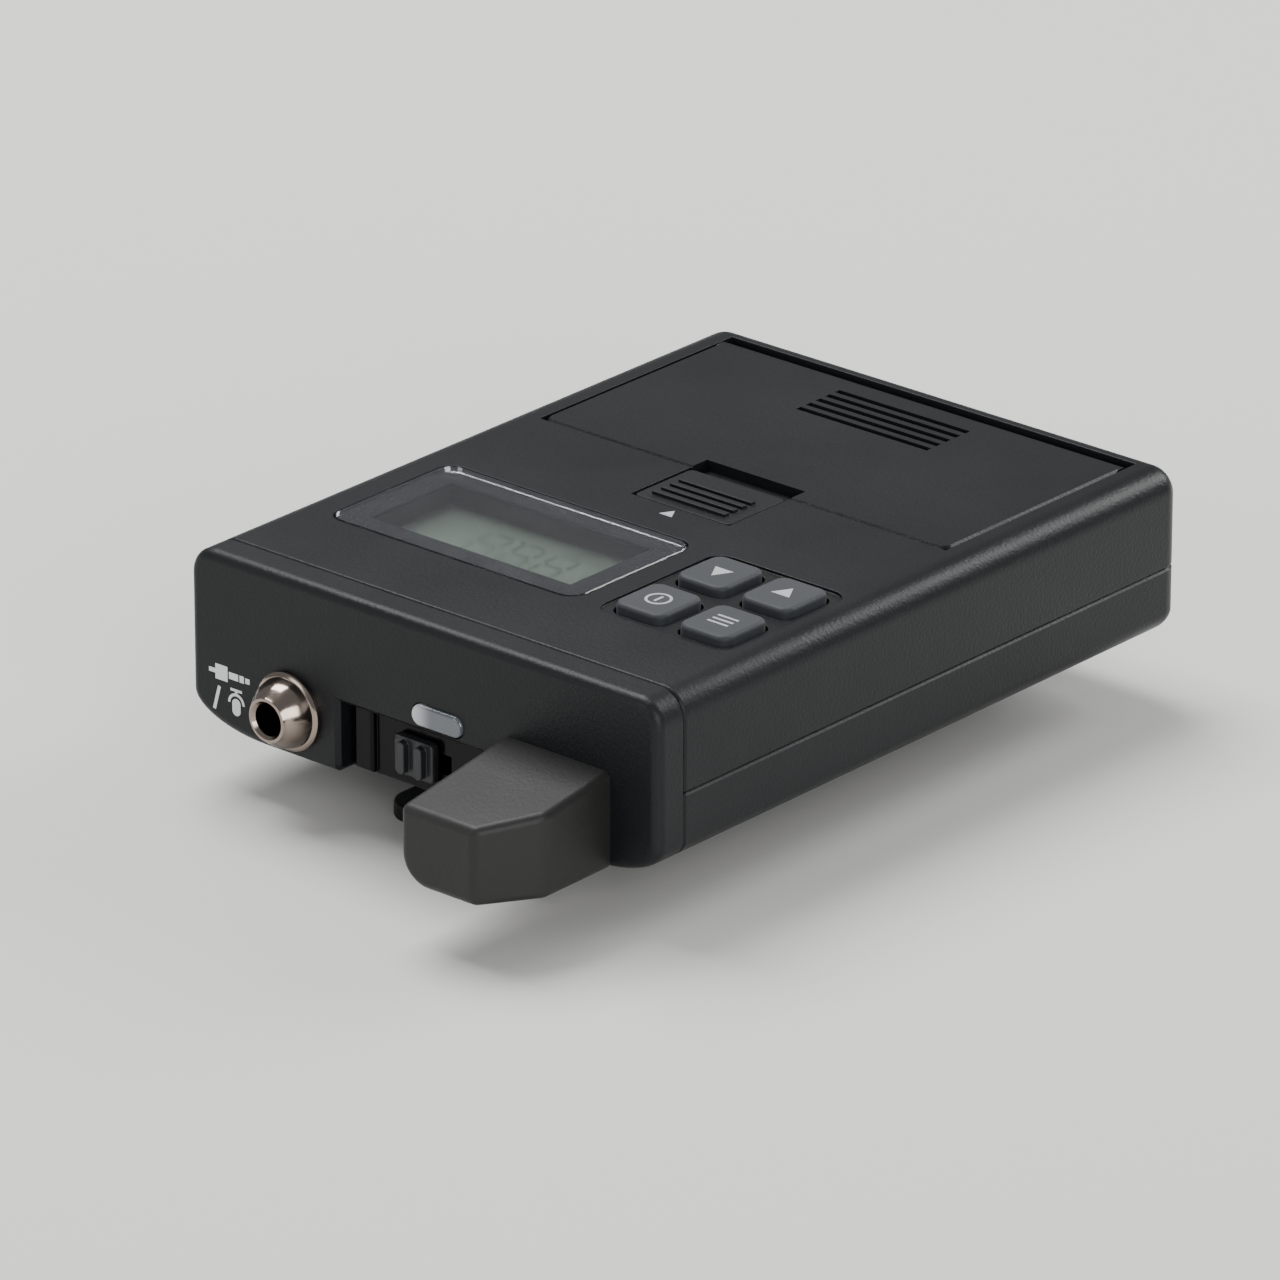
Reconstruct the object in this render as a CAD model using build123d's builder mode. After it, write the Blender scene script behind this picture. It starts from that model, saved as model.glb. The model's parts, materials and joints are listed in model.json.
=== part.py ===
"""Pocket wireless transmitter pack, in millimetres.

The pack lies on its belt clip. X runs across its width, Y along its length with the end
cap facing -Y, and Z up from the clip's outer face to the display side. The origin is on
the resting plane, under the middle of the whole pack, antenna included.
"""

import os
from build123d import *

os.makedirs("parts", exist_ok=True)

# ------------------------------------------------------------------ driving dimensions
WIDTH = 64.0  # pack, side to side
LENGTH = 84.0  # pack, end cap face to tail
THICKNESS = 20.0  # pack, back to front, without the clip
ANTENNA_REACH = 16.0  # antenna beyond the end cap
WALL = 1.6  # moulded shell walls
CAP_PLATE = 4.0  # end cap plate
CLIP_PLATE = 1.8  # belt clip blade
BELT_GAP = 4.4  # room for a belt under the pack
BACK_CORNER_X = 10.0  # back corners are quarter ellipses
BACK_CORNER_Z = 4.0
FRONT_CORNER = 3.0
SPLIT_HEIGHT = 9.0  # back face to the joint between the two shells
FIT = 0.15  # gap between fixed neighbours
RUN = 0.25  # gap round moving pieces
PIN_CLEARANCE = 0.05  # radial, round hinge pins
SEAM = 0.25  # chamfer that draws the line where two casings meet

# ------------------------------------------------------------------ derived places
HALF = WIDTH / 2
Z_BACK = CLIP_PLATE + BELT_GAP
Z_FRONT = Z_BACK + THICKNESS
Z_SPLIT = Z_BACK + SPLIT_HEIGHT
Z_FLOOR = Z_BACK + WALL  # inside of the back wall
Z_CEILING = Z_FRONT - WALL  # inside of the front wall
Y_FACE = (ANTENNA_REACH - LENGTH) / 2  # outer face of the end cap
Y_SHELL = Y_FACE + CAP_PLATE  # where the shells begin
Y_TAIL = Y_FACE + LENGTH
Y_TIP = Y_FACE - ANTENNA_REACH

# End cap features, measured from its left edge and from the back face
JACK_X, JACK_Z = -HALF + 14.0, Z_BACK + 5.3
NOTCH_X0, NOTCH_X1 = -HALF + 20.6, -HALF + 42.0
NOTCH_TOP = Z_BACK + 8.0
NOTCH_DEPTH = 3.0
PIPE_X, PIPE_Z = -HALF + 34.4, Z_BACK + 9.9  # light pipe centre
PIPE_LONG, PIPE_HIGH = 6.9, 2.4
SLIDE_X, SLIDE_Z = -HALF + 30.1, Z_BACK + 4.1  # mute slider centre
SLIDE_TRAVEL = 3.0
ANTENNA_X0, ANTENNA_X1 = -HALF + 43.2, -HALF + 57.6
ANTENNA_HIGH = 10.7  # at its root
ANTENNA_TIP_HIGH = 8.5

# Boards
MAIN_Z, MAIN_THICK = 8.2, 1.0
KEY_Z, KEY_THICK = 17.6, 1.0
MAIN_TOP = MAIN_Z + MAIN_THICK
KEY_TOP = KEY_Z + KEY_THICK

# Display and keys on the front face
LENS_X, LENS_Y, LENS_LONG, LENS_WIDE, LENS_THICK = -9.5, -9.5, 34.0, 19.0, 1.0
KEY_SPOTS = {"power_button": (15.2, -14.6), "menu_button": (23.8, -14.6),
             "up_button": (15.2, -5.0), "down_button": (23.8, -5.0)}
KEYPAD_X, KEYPAD_Y, KEYPAD_LONG, KEYPAD_WIDE, KEYPAD_DEEP = 19.5, -9.8, 17.8, 19.6, 0.35
KEY_LONG, KEY_WIDE, KEY_PROUD, KEY_TRAVEL = 6.6, 7.2, 0.7, 0.5
PLUNGER_TOP = KEY_TOP + 2.2

# Screw posts join the shells
POSTS = [(-26.2, -24.3), (26.2, -24.3), (-26.2, 10.0), (26.2, 10.0)]
POST_R, SCREW_R, SCREW_HEAD_R = 3.0, 1.0, 1.9

# Battery bay
CELL_R, CELL_LONG = 7.25, 50.5
CELL_Y = [24.5, 39.5]
CELL_Z = 16.0
TRAY_TOP = 21.6  # rim of the battery tray
DOOR_X, DOOR_Y = 27.6, 16.1  # half width, and the edge away from the hinge
HINGE_Y, HINGE_R, HINGE_PIN_R = 45.0, 1.9, 0.9
HINGE_Z = Z_FRONT - HINGE_R
LATCH_HALF, LATCH_Y, LATCH_LONG, LATCH_TRAVEL = 6.5, 6.5, 9.15, 2.4

# Belt clip
CLIP_Y, CLIP_Z, CLIP_BARREL_R, CLIP_PIN_R = -16.0, 2.6, 1.9, 1.0
CLIP_HALF, CLIP_HEAD, CLIP_TIP = 12.0, -28.5, 28.0
EAR_X0, EAR_X1 = 9.2, 11.2


def across(y):
    """The plane across the pack at y: its local axes are X and Z, and it extrudes to -Y."""
    return Plane.XZ.offset(-y)


def outline(inset):
    """The pack's cross-section, drawn in the open sketch, drawn in by inset all round."""
    side, back, front = HALF - inset, Z_BACK + inset, Z_FRONT - inset
    rx, rz, rf = BACK_CORNER_X - inset, BACK_CORNER_Z - inset, FRONT_CORNER - inset
    with BuildLine() as loop:
        Line((rx - side, back), (side - rx, back))
        EllipticalCenterArc((side - rx, back + rz), rx, rz, 270, arc_size=90)
        Line((side, back + rz), (side, front - rf))
        CenterArc((side - rf, front - rf), rf, 0, 90)
        Line((side - rf, front), (rf - side, front))
        CenterArc((rf - side, front - rf), rf, 90, 90)
        Line((-side, front - rf), (-side, back + rz))
        EllipticalCenterArc((rx - side, back + rz), rx, rz, 180, arc_size=90)
    make_face(loop.edges())


def block(x0, x1, y0, y1, z0, z1, mode=Mode.ADD):
    """A box between two corners."""
    with Locations(((x0 + x1) / 2, (y0 + y1) / 2, (z0 + z1) / 2)):
        Box(x1 - x0, y1 - y0, z1 - z0, mode=mode)


def rod(radius, x0, x1, y, z, mode=Mode.ADD):
    """A cylinder along X."""
    with Locations(((x0 + x1) / 2, y, z)):
        Cylinder(radius, x1 - x0, rotation=(0, 90, 0), mode=mode)


def barrel(radius, x, y0, y1, z, mode=Mode.ADD):
    """A cylinder along Y."""
    with Locations((x, (y0 + y1) / 2, z)):
        Cylinder(radius, y1 - y0, rotation=(90, 0, 0), mode=mode)


def post(radius, x, y, z0, z1, mode=Mode.ADD):
    """A cylinder along Z."""
    with Locations((x, y, (z0 + z1) / 2)):
        Cylinder(radius, z1 - z0, mode=mode)


def helix_wire(path_radius, wire_radius, pitch, height, base, turn_axis):
    """A coil of round wire that starts at base and climbs along turn_axis."""
    with BuildPart() as coil:
        with BuildLine():
            turns = Helix(pitch, height, path_radius, center=base, direction=turn_axis)
        with BuildSketch(Plane(origin=turns @ 0, z_dir=turns % 0)):
            Circle(wire_radius)
        sweep(is_frenet=True)
    return coil


def save(sub_part, name):
    """Labels a finished piece and writes its file."""
    sub_part.part.label = name
    export_step(sub_part.part, f"parts/{name}.step")


# ------------------------------------------------------------------ casings
with BuildPart() as pack_block:
    with BuildSketch(across(Y_SHELL)):
        outline(0)
    extrude(amount=-(Y_TAIL - Y_SHELL))
    fillet(pack_block.faces().sort_by(Axis.Y)[-1].edges(), 2.5)


def hollow():
    """Cuts the inside of the pack, open at the end cap."""
    with BuildSketch(across(Y_SHELL)) as mouth:
        outline(WALL)
    extrude(mouth.sketch, amount=-(Y_TAIL - WALL - Y_SHELL), mode=Mode.SUBTRACT)


def seam_edges(shell, split_side):
    """The outer edges that meet the other shell and the end cap."""
    at_split = shell.edges().group_by(Axis.Z)[split_side]
    at_cap = shell.faces().sort_by(Axis.Y)[0].edges()
    return ShapeList(set(at_split) | set(at_cap))


with BuildPart() as rear_shell:
    add(pack_block.part)
    split(bisect_by=Plane.XY.offset(Z_SPLIT), keep=Keep.BOTTOM)
    chamfer(seam_edges(rear_shell, -1), SEAM)
    hollow()
    for x, y in POSTS:
        post(POST_R, x, y, Z_FLOOR - 0.3, Z_SPLIT - 0.1)
    for x, y in POSTS:
        post(SCREW_R + 0.1, x, y, Z_BACK - 1, Z_SPLIT + 1, Mode.SUBTRACT)
        post(SCREW_HEAD_R + FIT, x, y, Z_BACK - 1, Z_BACK + 2.2, Mode.SUBTRACT)
    for x in (-18.0, 18.0):  # rests under the main board
        block(x - 1.5, x + 1.5, -4.0, -1.0, Z_FLOOR - 0.1, MAIN_Z)
    block(-20.1, 20.1, 27.9, 44.1, Z_BACK - 1, Z_BACK + 0.25, Mode.SUBTRACT)  # label recess
    for x in (-6.0, 6.0):  # charging contacts
        barrel(1.2, x, Y_TAIL - WALL - 1, Y_TAIL + 1, Z_BACK + 5, Mode.SUBTRACT)
        barrel(2.0, x, Y_TAIL - 0.7, Y_TAIL + 1, Z_BACK + 5, Mode.SUBTRACT)
    for x in (-7.5, 7.5):  # belt clip bracket screws
        post(0.8, x, CLIP_Y, Z_BACK - 1, Z_FLOOR + 1, Mode.SUBTRACT)
save(rear_shell, "rear_shell")

with BuildPart() as front_shell:
    add(pack_block.part)
    split(bisect_by=Plane.XY.offset(Z_SPLIT), keep=Keep.TOP)
    chamfer(seam_edges(front_shell, 0), SEAM)
    hollow()
    for x, y in POSTS:
        post(POST_R, x, y, Z_SPLIT, Z_CEILING + 0.5)
        post(SCREW_R - 0.15, x, y, Z_SPLIT - 1, Z_SPLIT + 7.5, Mode.SUBTRACT)
    # battery door opening, with a ledge along each side
    block(-DOOR_X - RUN, DOOR_X + RUN, DOOR_Y - RUN, HINGE_Y + HINGE_R + RUN,
          Z_CEILING - 1, Z_FRONT + 1, Mode.SUBTRACT)
    for side in (-1, 1):
        ledge = sorted((side * (DOOR_X - 0.9), side * (HALF - WALL + 0.2)))
        block(*ledge, DOOR_Y + 1.5, HINGE_Y - HINGE_R - 2, Z_CEILING - 1.2, Z_CEILING - 0.1)
        ear = sorted((side * (DOOR_X + RUN), side * (HALF - WALL + 0.4)))
        block(*ear, HINGE_Y - 2.6, Y_TAIL - WALL + 0.2, HINGE_Z - 2.6, Z_CEILING + 0.2)
    rod(HINGE_PIN_R, -DOOR_X - 2.4, DOOR_X + 2.4, HINGE_Y, HINGE_Z, Mode.SUBTRACT)
    # latch pocket, open towards the door
    block(-LATCH_HALF - 1.6, LATCH_HALF + 1.6, LATCH_Y - 1.4, DOOR_Y - RUN,
          Z_CEILING - 1.8, Z_CEILING + 0.1)
    block(-LATCH_HALF - RUN, LATCH_HALF + RUN, LATCH_Y - RUN, DOOR_Y, Z_CEILING - 0.1,
          Z_FRONT + 1, Mode.SUBTRACT)
    block(-2.2, 2.2, LATCH_Y + 1.6, LATCH_Y + 4.6 + LATCH_TRAVEL, Z_CEILING - 3, Z_CEILING + 1,
          Mode.SUBTRACT)
    # display window with a recess for the lens
    with BuildSketch(Plane.XY.offset(Z_FRONT)):
        with Locations((LENS_X, LENS_Y)):
            RectangleRounded(LENS_LONG + 2 * FIT, LENS_WIDE + 2 * FIT, 2.2)
    extrude(amount=-LENS_THICK - 0.1, mode=Mode.SUBTRACT)
    with BuildSketch(Plane.XY.offset(Z_FRONT)):
        with Locations((LENS_X, LENS_Y)):
            RectangleRounded(29.0, 14.0, 1.2)
    extrude(amount=-4, mode=Mode.SUBTRACT)
    # shallow keypad recess with the key holes in it
    with BuildSketch(Plane.XY.offset(Z_FRONT)):
        with Locations((KEYPAD_X, KEYPAD_Y)):
            RectangleRounded(KEYPAD_LONG, KEYPAD_WIDE, 2.2)
    extrude(amount=-KEYPAD_DEEP, mode=Mode.SUBTRACT)
    with BuildSketch(Plane.XY.offset(Z_FRONT)):
        with Locations(*KEY_SPOTS.values()):
            RectangleRounded(KEY_LONG + 2 * RUN, KEY_WIDE + 2 * RUN, 1.6)
    extrude(amount=-4, mode=Mode.SUBTRACT)
    # pillars that hold the key board
    for x, y in ((-12.0, -23.5), (-14.0, 7.0)):
        post(1.9, x, y, KEY_TOP, Z_CEILING + 0.3)
        post(0.7, x, y, KEY_TOP - 1, KEY_TOP + 4.5, Mode.SUBTRACT)
save(front_shell, "front_shell")

with BuildPart() as end_cap:
    with BuildSketch(across(Y_FACE)):
        outline(0)
    extrude(amount=-CAP_PLATE)
    fillet(end_cap.faces().sort_by(Axis.Y)[0].edges(), 1.1)
    chamfer(end_cap.faces().sort_by(Axis.Y)[-1].edges(), SEAM)
    with BuildSketch(across(Y_SHELL)):  # spigot that plugs into the shells
        outline(WALL + FIT)
    extrude(amount=-2.0)
    with BuildSketch(across(Y_SHELL)):
        outline(WALL + FIT + 1.2)
    extrude(amount=-3.0, mode=Mode.SUBTRACT)
    block(NOTCH_X0, NOTCH_X1, Y_FACE - 1, Y_FACE + NOTCH_DEPTH, Z_BACK - 1, NOTCH_TOP,
          Mode.SUBTRACT)
    notch_rim = end_cap.edges().filter_by(Axis.Z).filter_by_position(Axis.Y, Y_FACE, Y_FACE)
    notch_rim = notch_rim + end_cap.edges().filter_by(Axis.X).filter_by_position(
        Axis.Z, NOTCH_TOP, NOTCH_TOP).filter_by_position(Axis.Y, Y_FACE, Y_FACE)
    chamfer(notch_rim, 0.5)
    barrel(3.1, JACK_X, Y_FACE - 1, Y_SHELL + 3, JACK_Z, Mode.SUBTRACT)
    barrel(4.6, JACK_X, Y_SHELL, Y_SHELL + 3, JACK_Z, Mode.SUBTRACT)  # room for its nut
    block(SLIDE_X - 1 - RUN, SLIDE_X + 1 + RUN + SLIDE_TRAVEL, Y_FACE, Y_SHELL + 1,
          SLIDE_Z - 0.8 - RUN, SLIDE_Z + 0.8 + RUN, Mode.SUBTRACT)
    with BuildSketch(across(Y_FACE)):
        with Locations((PIPE_X, PIPE_Z)):
            SlotOverall(PIPE_LONG + 2 * FIT, PIPE_HIGH + 2 * FIT)
    extrude(amount=-CAP_PLATE - 1, mode=Mode.SUBTRACT)
    block(ANTENNA_X0 + 3, ANTENNA_X1 - 3, Y_FACE - 1, Y_SHELL + 1, Z_BACK + 2.4, Z_BACK + 8.8,
          Mode.SUBTRACT)
save(end_cap, "end_cap")

with BuildPart() as rating_plate:
    block(-20.0, 20.0, 28.0, 44.0, Z_BACK + 0.05, Z_BACK + 0.25)
    fillet(rating_plate.edges().filter_by(Axis.Z), 1.5)
save(rating_plate, "rating_plate")

with BuildPart() as case_screws:
    for x, y in POSTS:
        post(SCREW_HEAD_R, x, y, Z_BACK + 1.2, Z_BACK + 2.2)
        post(SCREW_R - 0.2, x, y, Z_BACK + 2.1, Z_SPLIT + 6.0)
        post(0.75, x, y, Z_BACK, Z_BACK + 1.8, Mode.SUBTRACT)
save(case_screws, "case_screws")

# ------------------------------------------------------------------ input jack
JACK_MOUTH = Y_FACE - 3.7
with BuildPart() as jack_bushing:
    with BuildSketch(Plane((JACK_X, 0, JACK_Z))):  # x is the radius, y runs along the pack
        with BuildLine():
            Line((1.8, Y_SHELL + 2.0), (1.8, JACK_MOUTH + 0.4))
            Line((1.8, JACK_MOUTH + 0.4), (2.1, JACK_MOUTH))
            Line((2.1, JACK_MOUTH), (2.35, JACK_MOUTH))
            RadiusArc((2.35, JACK_MOUTH), (2.6, JACK_MOUTH + 0.3), 0.3)
            RadiusArc((2.6, JACK_MOUTH + 0.3), (3.95, Y_FACE - 0.8), 4.5)
            Line((3.95, Y_FACE - 0.8), (4.3, Y_FACE - 0.6))
            Line((4.3, Y_FACE - 0.6), (4.3, Y_FACE))
            Line((4.3, Y_FACE), (3.0, Y_FACE))
            Line((3.0, Y_FACE), (3.0, Y_SHELL + 2.0))
            Line((3.0, Y_SHELL + 2.0), (1.8, Y_SHELL + 2.0))
        make_face()
    revolve(axis=Axis((JACK_X, 0, JACK_Z), (0, 1, 0)))
save(jack_bushing, "jack_bushing")

with BuildPart() as jack_nut:
    with BuildSketch(across(Y_SHELL + 1.7)):
        with Locations((JACK_X, JACK_Z)):
            RegularPolygon(3.6, 6, major_radius=False)
            Circle(3.05, mode=Mode.SUBTRACT)
    extrude(amount=1.6)
save(jack_nut, "jack_nut")

JACK_BACK = Y_SHELL + 2.05
with BuildPart() as jack_housing:
    block(JACK_X - 3.2, JACK_X + 3.2, JACK_BACK, JACK_BACK + 9.5, MAIN_TOP, JACK_Z + 2.9)
    barrel(1.8, JACK_X, JACK_BACK - 1, JACK_BACK + 7.0, JACK_Z, Mode.SUBTRACT)
    for side in (-1, 1):
        slot = sorted((side * 2.05, side * 2.75))
        block(JACK_X + slot[0], JACK_X + slot[1], JACK_BACK + 1.5, JACK_BACK + 8.5,
              MAIN_TOP - 1, JACK_Z + 2.0, Mode.SUBTRACT)
save(jack_housing, "jack_housing")

with BuildPart() as jack_contacts:
    for side in (-1, 1):
        leaf = sorted((side * 2.25, side * 2.55))
        block(JACK_X + leaf[0], JACK_X + leaf[1], JACK_BACK + 1.8, JACK_BACK + 8.2,
              MAIN_TOP, JACK_Z + 1.6)
save(jack_contacts, "jack_contacts")

# ------------------------------------------------------------------ mute slider
BEZEL_Y = Y_FACE + NOTCH_DEPTH - 1.0
with BuildPart() as switch_bezel:
    block(NOTCH_X0 + FIT, NOTCH_X1 - FIT, BEZEL_Y, Y_FACE + NOTCH_DEPTH, Z_BACK + 0.7,
          NOTCH_TOP - FIT)
    block(NOTCH_X0 + 1.0, NOTCH_X0 + 3.6, BEZEL_Y - 0.7, BEZEL_Y + 0.1, Z_BACK + 0.7,
          NOTCH_TOP - FIT)
    chamfer(switch_bezel.faces().sort_by(Axis.Y)[0].edges(), 0.3)
    block(SLIDE_X - 1 - RUN, SLIDE_X + 1 + RUN + SLIDE_TRAVEL, BEZEL_Y - 1, Y_SHELL,
          SLIDE_Z - 0.8 - RUN, SLIDE_Z + 0.8 + RUN, Mode.SUBTRACT)
save(switch_bezel, "switch_bezel")

with BuildPart() as mute_slider:
    block(SLIDE_X - 2.7, SLIDE_X + 2.7, BEZEL_Y - 1.0, BEZEL_Y - 0.1, SLIDE_Z - 2.2,
          SLIDE_Z + 2.2)
    fillet(mute_slider.edges().filter_by(Axis.Y), 0.5)
    chamfer(mute_slider.faces().sort_by(Axis.Y)[0].edges(), 0.15)
    for x in (-1.2, 1.2):
        with BuildSketch(across(BEZEL_Y - 0.95)):
            with Locations((SLIDE_X + x, SLIDE_Z)):
                SlotOverall(3.6, 1.1, rotation=90)
        extrude(amount=0.85)
    block(SLIDE_X - 1, SLIDE_X + 1, BEZEL_Y - 0.2, Y_SHELL + 1.9, SLIDE_Z - 0.8, SLIDE_Z + 0.8)
save(mute_slider, "mute_slider")

SWITCH_Y = Y_SHELL + 2.3
with BuildPart() as switch_body:
    block(SLIDE_X - 3.5, SLIDE_X + 6.5, SWITCH_Y, SWITCH_Y + 4.2, MAIN_TOP, SLIDE_Z + 2.6)
    block(SLIDE_X - 1.4, SLIDE_X + 1.4 + SLIDE_TRAVEL, SWITCH_Y - 1, SWITCH_Y + 2.6,
          SLIDE_Z - 0.4, SLIDE_Z + 1.6, Mode.SUBTRACT)
save(switch_body, "switch_body")

with BuildPart() as switch_lever:
    block(SLIDE_X - 1.1, SLIDE_X + 1.1, Y_SHELL + 1.9, SWITCH_Y + 2.3, SLIDE_Z - 0.1,
          SLIDE_Z + 1.3)
save(switch_lever, "switch_lever")

# ------------------------------------------------------------------ status light
with BuildPart() as light_pipe:
    with BuildSketch(across(Y_FACE - 0.35)):
        with Locations((PIPE_X, PIPE_Z)):
            SlotOverall(PIPE_LONG, PIPE_HIGH)
    extrude(amount=-(CAP_PLATE + 3.4))
    fillet(light_pipe.faces().sort_by(Axis.Y)[0].edges(), 0.35)
save(light_pipe, "light_pipe")

with BuildPart() as status_led:
    block(PIPE_X - 1.6, PIPE_X + 1.6, Y_SHELL + 3.2, Y_SHELL + 5.0, KEY_Z - 1.6, KEY_Z)
save(status_led, "status_led")

# ------------------------------------------------------------------ antenna
ANTENNA_Z = Z_BACK + 0.2
with BuildPart() as antenna_boot:
    with BuildSketch(Plane.XY.offset(ANTENNA_Z)):
        with BuildLine():
            Polyline((ANTENNA_X0, Y_FACE), (ANTENNA_X0 + 0.4, Y_TIP), (ANTENNA_X0 + 10.4, Y_TIP),
                     (ANTENNA_X1 + 0.1, Y_TIP + 6.2), (ANTENNA_X1, Y_FACE), close=True)
        make_face()
    extrude(amount=ANTENNA_HIGH)
    with BuildSketch(Plane.YZ.offset(ANTENNA_X0 - 5)):  # the top slopes down to the tip
        with BuildLine():
            Polyline((Y_FACE, ANTENNA_Z + ANTENNA_HIGH), (Y_TIP - 1, ANTENNA_Z + ANTENNA_TIP_HIGH),
                     (Y_TIP - 1, ANTENNA_Z + ANTENNA_HIGH + 1),
                     (Y_FACE, ANTENNA_Z + ANTENNA_HIGH + 1), close=True)
        make_face()
    extrude(amount=30, mode=Mode.SUBTRACT)
    low_left = antenna_boot.edges().filter_by(lambda e: e.length > 15).sort_by(Axis.Z)[:4]
    fillet(low_left.sort_by(Axis.X)[0], 3.4)
    tip = antenna_boot.faces().filter_by(lambda f: abs(f.normal_at().Y) > 0.3).filter_by(
        lambda f: f.center().Y < Y_FACE - 8)
    fillet(ShapeList({e for f in tip for e in f.edges()}), 0.8)
    block(ANTENNA_X0 + 3.1, ANTENNA_X1 - 3.1, Y_FACE - 0.1, Y_SHELL + 0.4, Z_BACK + 2.5,
          Z_BACK + 8.7)
    barrel(2.6, ANTENNA_X0 + 7.2, Y_TIP + 3.0, Y_SHELL + 1, Z_BACK + 5.6, Mode.SUBTRACT)
save(antenna_boot, "antenna_boot")

ANTENNA_MID_X, ANTENNA_MID_Z = ANTENNA_X0 + 7.2, Z_BACK + 5.6
antenna_coil = helix_wire(1.9, 0.35, 1.6, 12.0, (ANTENNA_MID_X, Y_TIP + 3.8, ANTENNA_MID_Z),
                          (0, 1, 0))
save(antenna_coil, "antenna_coil")

with BuildPart() as antenna_ferrule:
    barrel(2.5, ANTENNA_MID_X, Y_FACE + 0.5, Y_SHELL + 1.0, ANTENNA_MID_Z)
    barrel(1.0, ANTENNA_MID_X, Y_SHELL + 0.9, Y_SHELL + 4.0, ANTENNA_MID_Z)
save(antenna_ferrule, "antenna_ferrule")

with BuildPart() as antenna_spring:
    block(ANTENNA_MID_X - 1.2, ANTENNA_MID_X + 1.2, Y_SHELL + 2.6, Y_SHELL + 7.0, MAIN_TOP,
          MAIN_TOP + 0.3)
    block(ANTENNA_MID_X - 1.2, ANTENNA_MID_X + 1.2, Y_SHELL + 2.6, Y_SHELL + 2.9, MAIN_TOP,
          ANTENNA_MID_Z - 1.1)
    block(ANTENNA_MID_X - 1.2, ANTENNA_MID_X + 1.2, Y_SHELL + 2.6, Y_SHELL + 3.8,
          ANTENNA_MID_Z - 1.35, ANTENNA_MID_Z - 1.1)
save(antenna_spring, "antenna_spring")

# ------------------------------------------------------------------ boards
with BuildPart() as main_board:
    block(-26.0, 26.0, Y_SHELL + 2.4, 14.2, MAIN_Z, MAIN_TOP)
    for x, y in POSTS:
        post(POST_R + FIT, x, y, MAIN_Z - 1, MAIN_TOP + 1, Mode.SUBTRACT)
save(main_board, "main_board")

with BuildPart() as shield_can:
    block(-4.0, 18.0, -14.0, 4.0, MAIN_TOP, MAIN_TOP + 3.0)
    fillet(shield_can.edges().filter_by(Axis.Z), 0.8)
    block(-3.7, 17.7, -13.7, 3.7, MAIN_TOP - 0.1, MAIN_TOP + 2.7, Mode.SUBTRACT)
    with Locations((7.0, -5.0, MAIN_TOP + 3.0)):
        with GridLocations(4.0, 4.0, 4, 3):
            Hole(0.6, depth=0.6)
save(shield_can, "shield_can")

with BuildPart() as board_chips:
    block(-1.0, 6.0, -11.0, -4.0, MAIN_TOP, MAIN_TOP + 0.9)
    block(9.0, 14.0, -9.0, -4.0, MAIN_TOP, MAIN_TOP + 0.8)
    block(-16.0, -8.0, 1.0, 9.0, MAIN_TOP, MAIN_TOP + 1.0)
    block(-24.0, -18.0, -10.0, -5.0, MAIN_TOP, MAIN_TOP + 1.2)
save(board_chips, "board_chips")

with BuildPart() as board_capacitors:
    for x, y in ((-14.0, -13.0), (-8.5, -13.0), (21.5, -10.0), (21.5, -4.0)):
        post(2.0, x, y, MAIN_TOP, MAIN_TOP + 4.2)
save(board_capacitors, "board_capacitors")

with BuildPart() as board_link:  # header that joins the two boards
    block(2.0, 14.0, 8.0, 12.0, MAIN_TOP, KEY_Z)
save(board_link, "board_link")

with BuildPart() as key_board:
    block(-27.5, 27.5, -26.0, 13.8, KEY_Z, KEY_TOP)
    for x, y in POSTS:
        post(POST_R + FIT, x, y, KEY_Z - 1, KEY_TOP + 1, Mode.SUBTRACT)
    for x, y in ((-12.0, -23.5), (-14.0, 7.0)):
        post(0.85, x, y, KEY_Z - 1, KEY_TOP + 1, Mode.SUBTRACT)
save(key_board, "key_board")

with BuildPart() as board_screws:
    for x, y in ((-12.0, -23.5), (-14.0, 7.0)):
        post(1.5, x, y, KEY_Z - 1.0, KEY_Z)
        post(0.6, x, y, KEY_Z - 0.1, KEY_TOP + 4.0)
save(board_screws, "board_screws")

# ------------------------------------------------------------------ display
with BuildPart() as display_panel:
    block(LENS_X - 15.5, LENS_X + 15.5, LENS_Y - 8.5, LENS_Y + 8.5, KEY_TOP + 2.2, KEY_TOP + 3.6)
save(display_panel, "display_panel")

with BuildPart() as display_holder:
    block(LENS_X - 16.6, LENS_X + 16.6, LENS_Y - 9.6, LENS_Y + 9.6, KEY_TOP, Z_CEILING - 0.15)
    block(LENS_X - 15.6, LENS_X + 15.6, LENS_Y - 8.6, LENS_Y + 8.6, KEY_TOP + 2.1, KEY_TOP + 3.7,
          Mode.SUBTRACT)
    block(LENS_X - 14.4, LENS_X + 14.4, LENS_Y - 6.9, LENS_Y + 6.9, KEY_TOP + 3.6, Z_FRONT,
          Mode.SUBTRACT)
    block(LENS_X - 12.0, LENS_X + 12.0, LENS_Y - 6.0, LENS_Y + 6.0, KEY_TOP - 1, KEY_TOP + 1.4,
          Mode.SUBTRACT)
save(display_holder, "display_holder")

with BuildPart() as display_lens:
    with BuildSketch(Plane.XY.offset(Z_FRONT - LENS_THICK)):
        with Locations((LENS_X, LENS_Y)):
            RectangleRounded(LENS_LONG, LENS_WIDE, 2.0)
    extrude(amount=LENS_THICK)
    chamfer(display_lens.faces().sort_by(Axis.Z)[-1].edges(), 0.12)
save(display_lens, "display_lens")

# ------------------------------------------------------------------ keys
with BuildPart() as key_switches:
    for x, y in KEY_SPOTS.values():
        block(x - 2.3, x + 2.3, y - 2.3, y + 2.3, KEY_TOP, KEY_TOP + 1.6)
        post(1.1, x, y, KEY_TOP + 1.5, PLUNGER_TOP)
save(key_switches, "key_switches")


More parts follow.
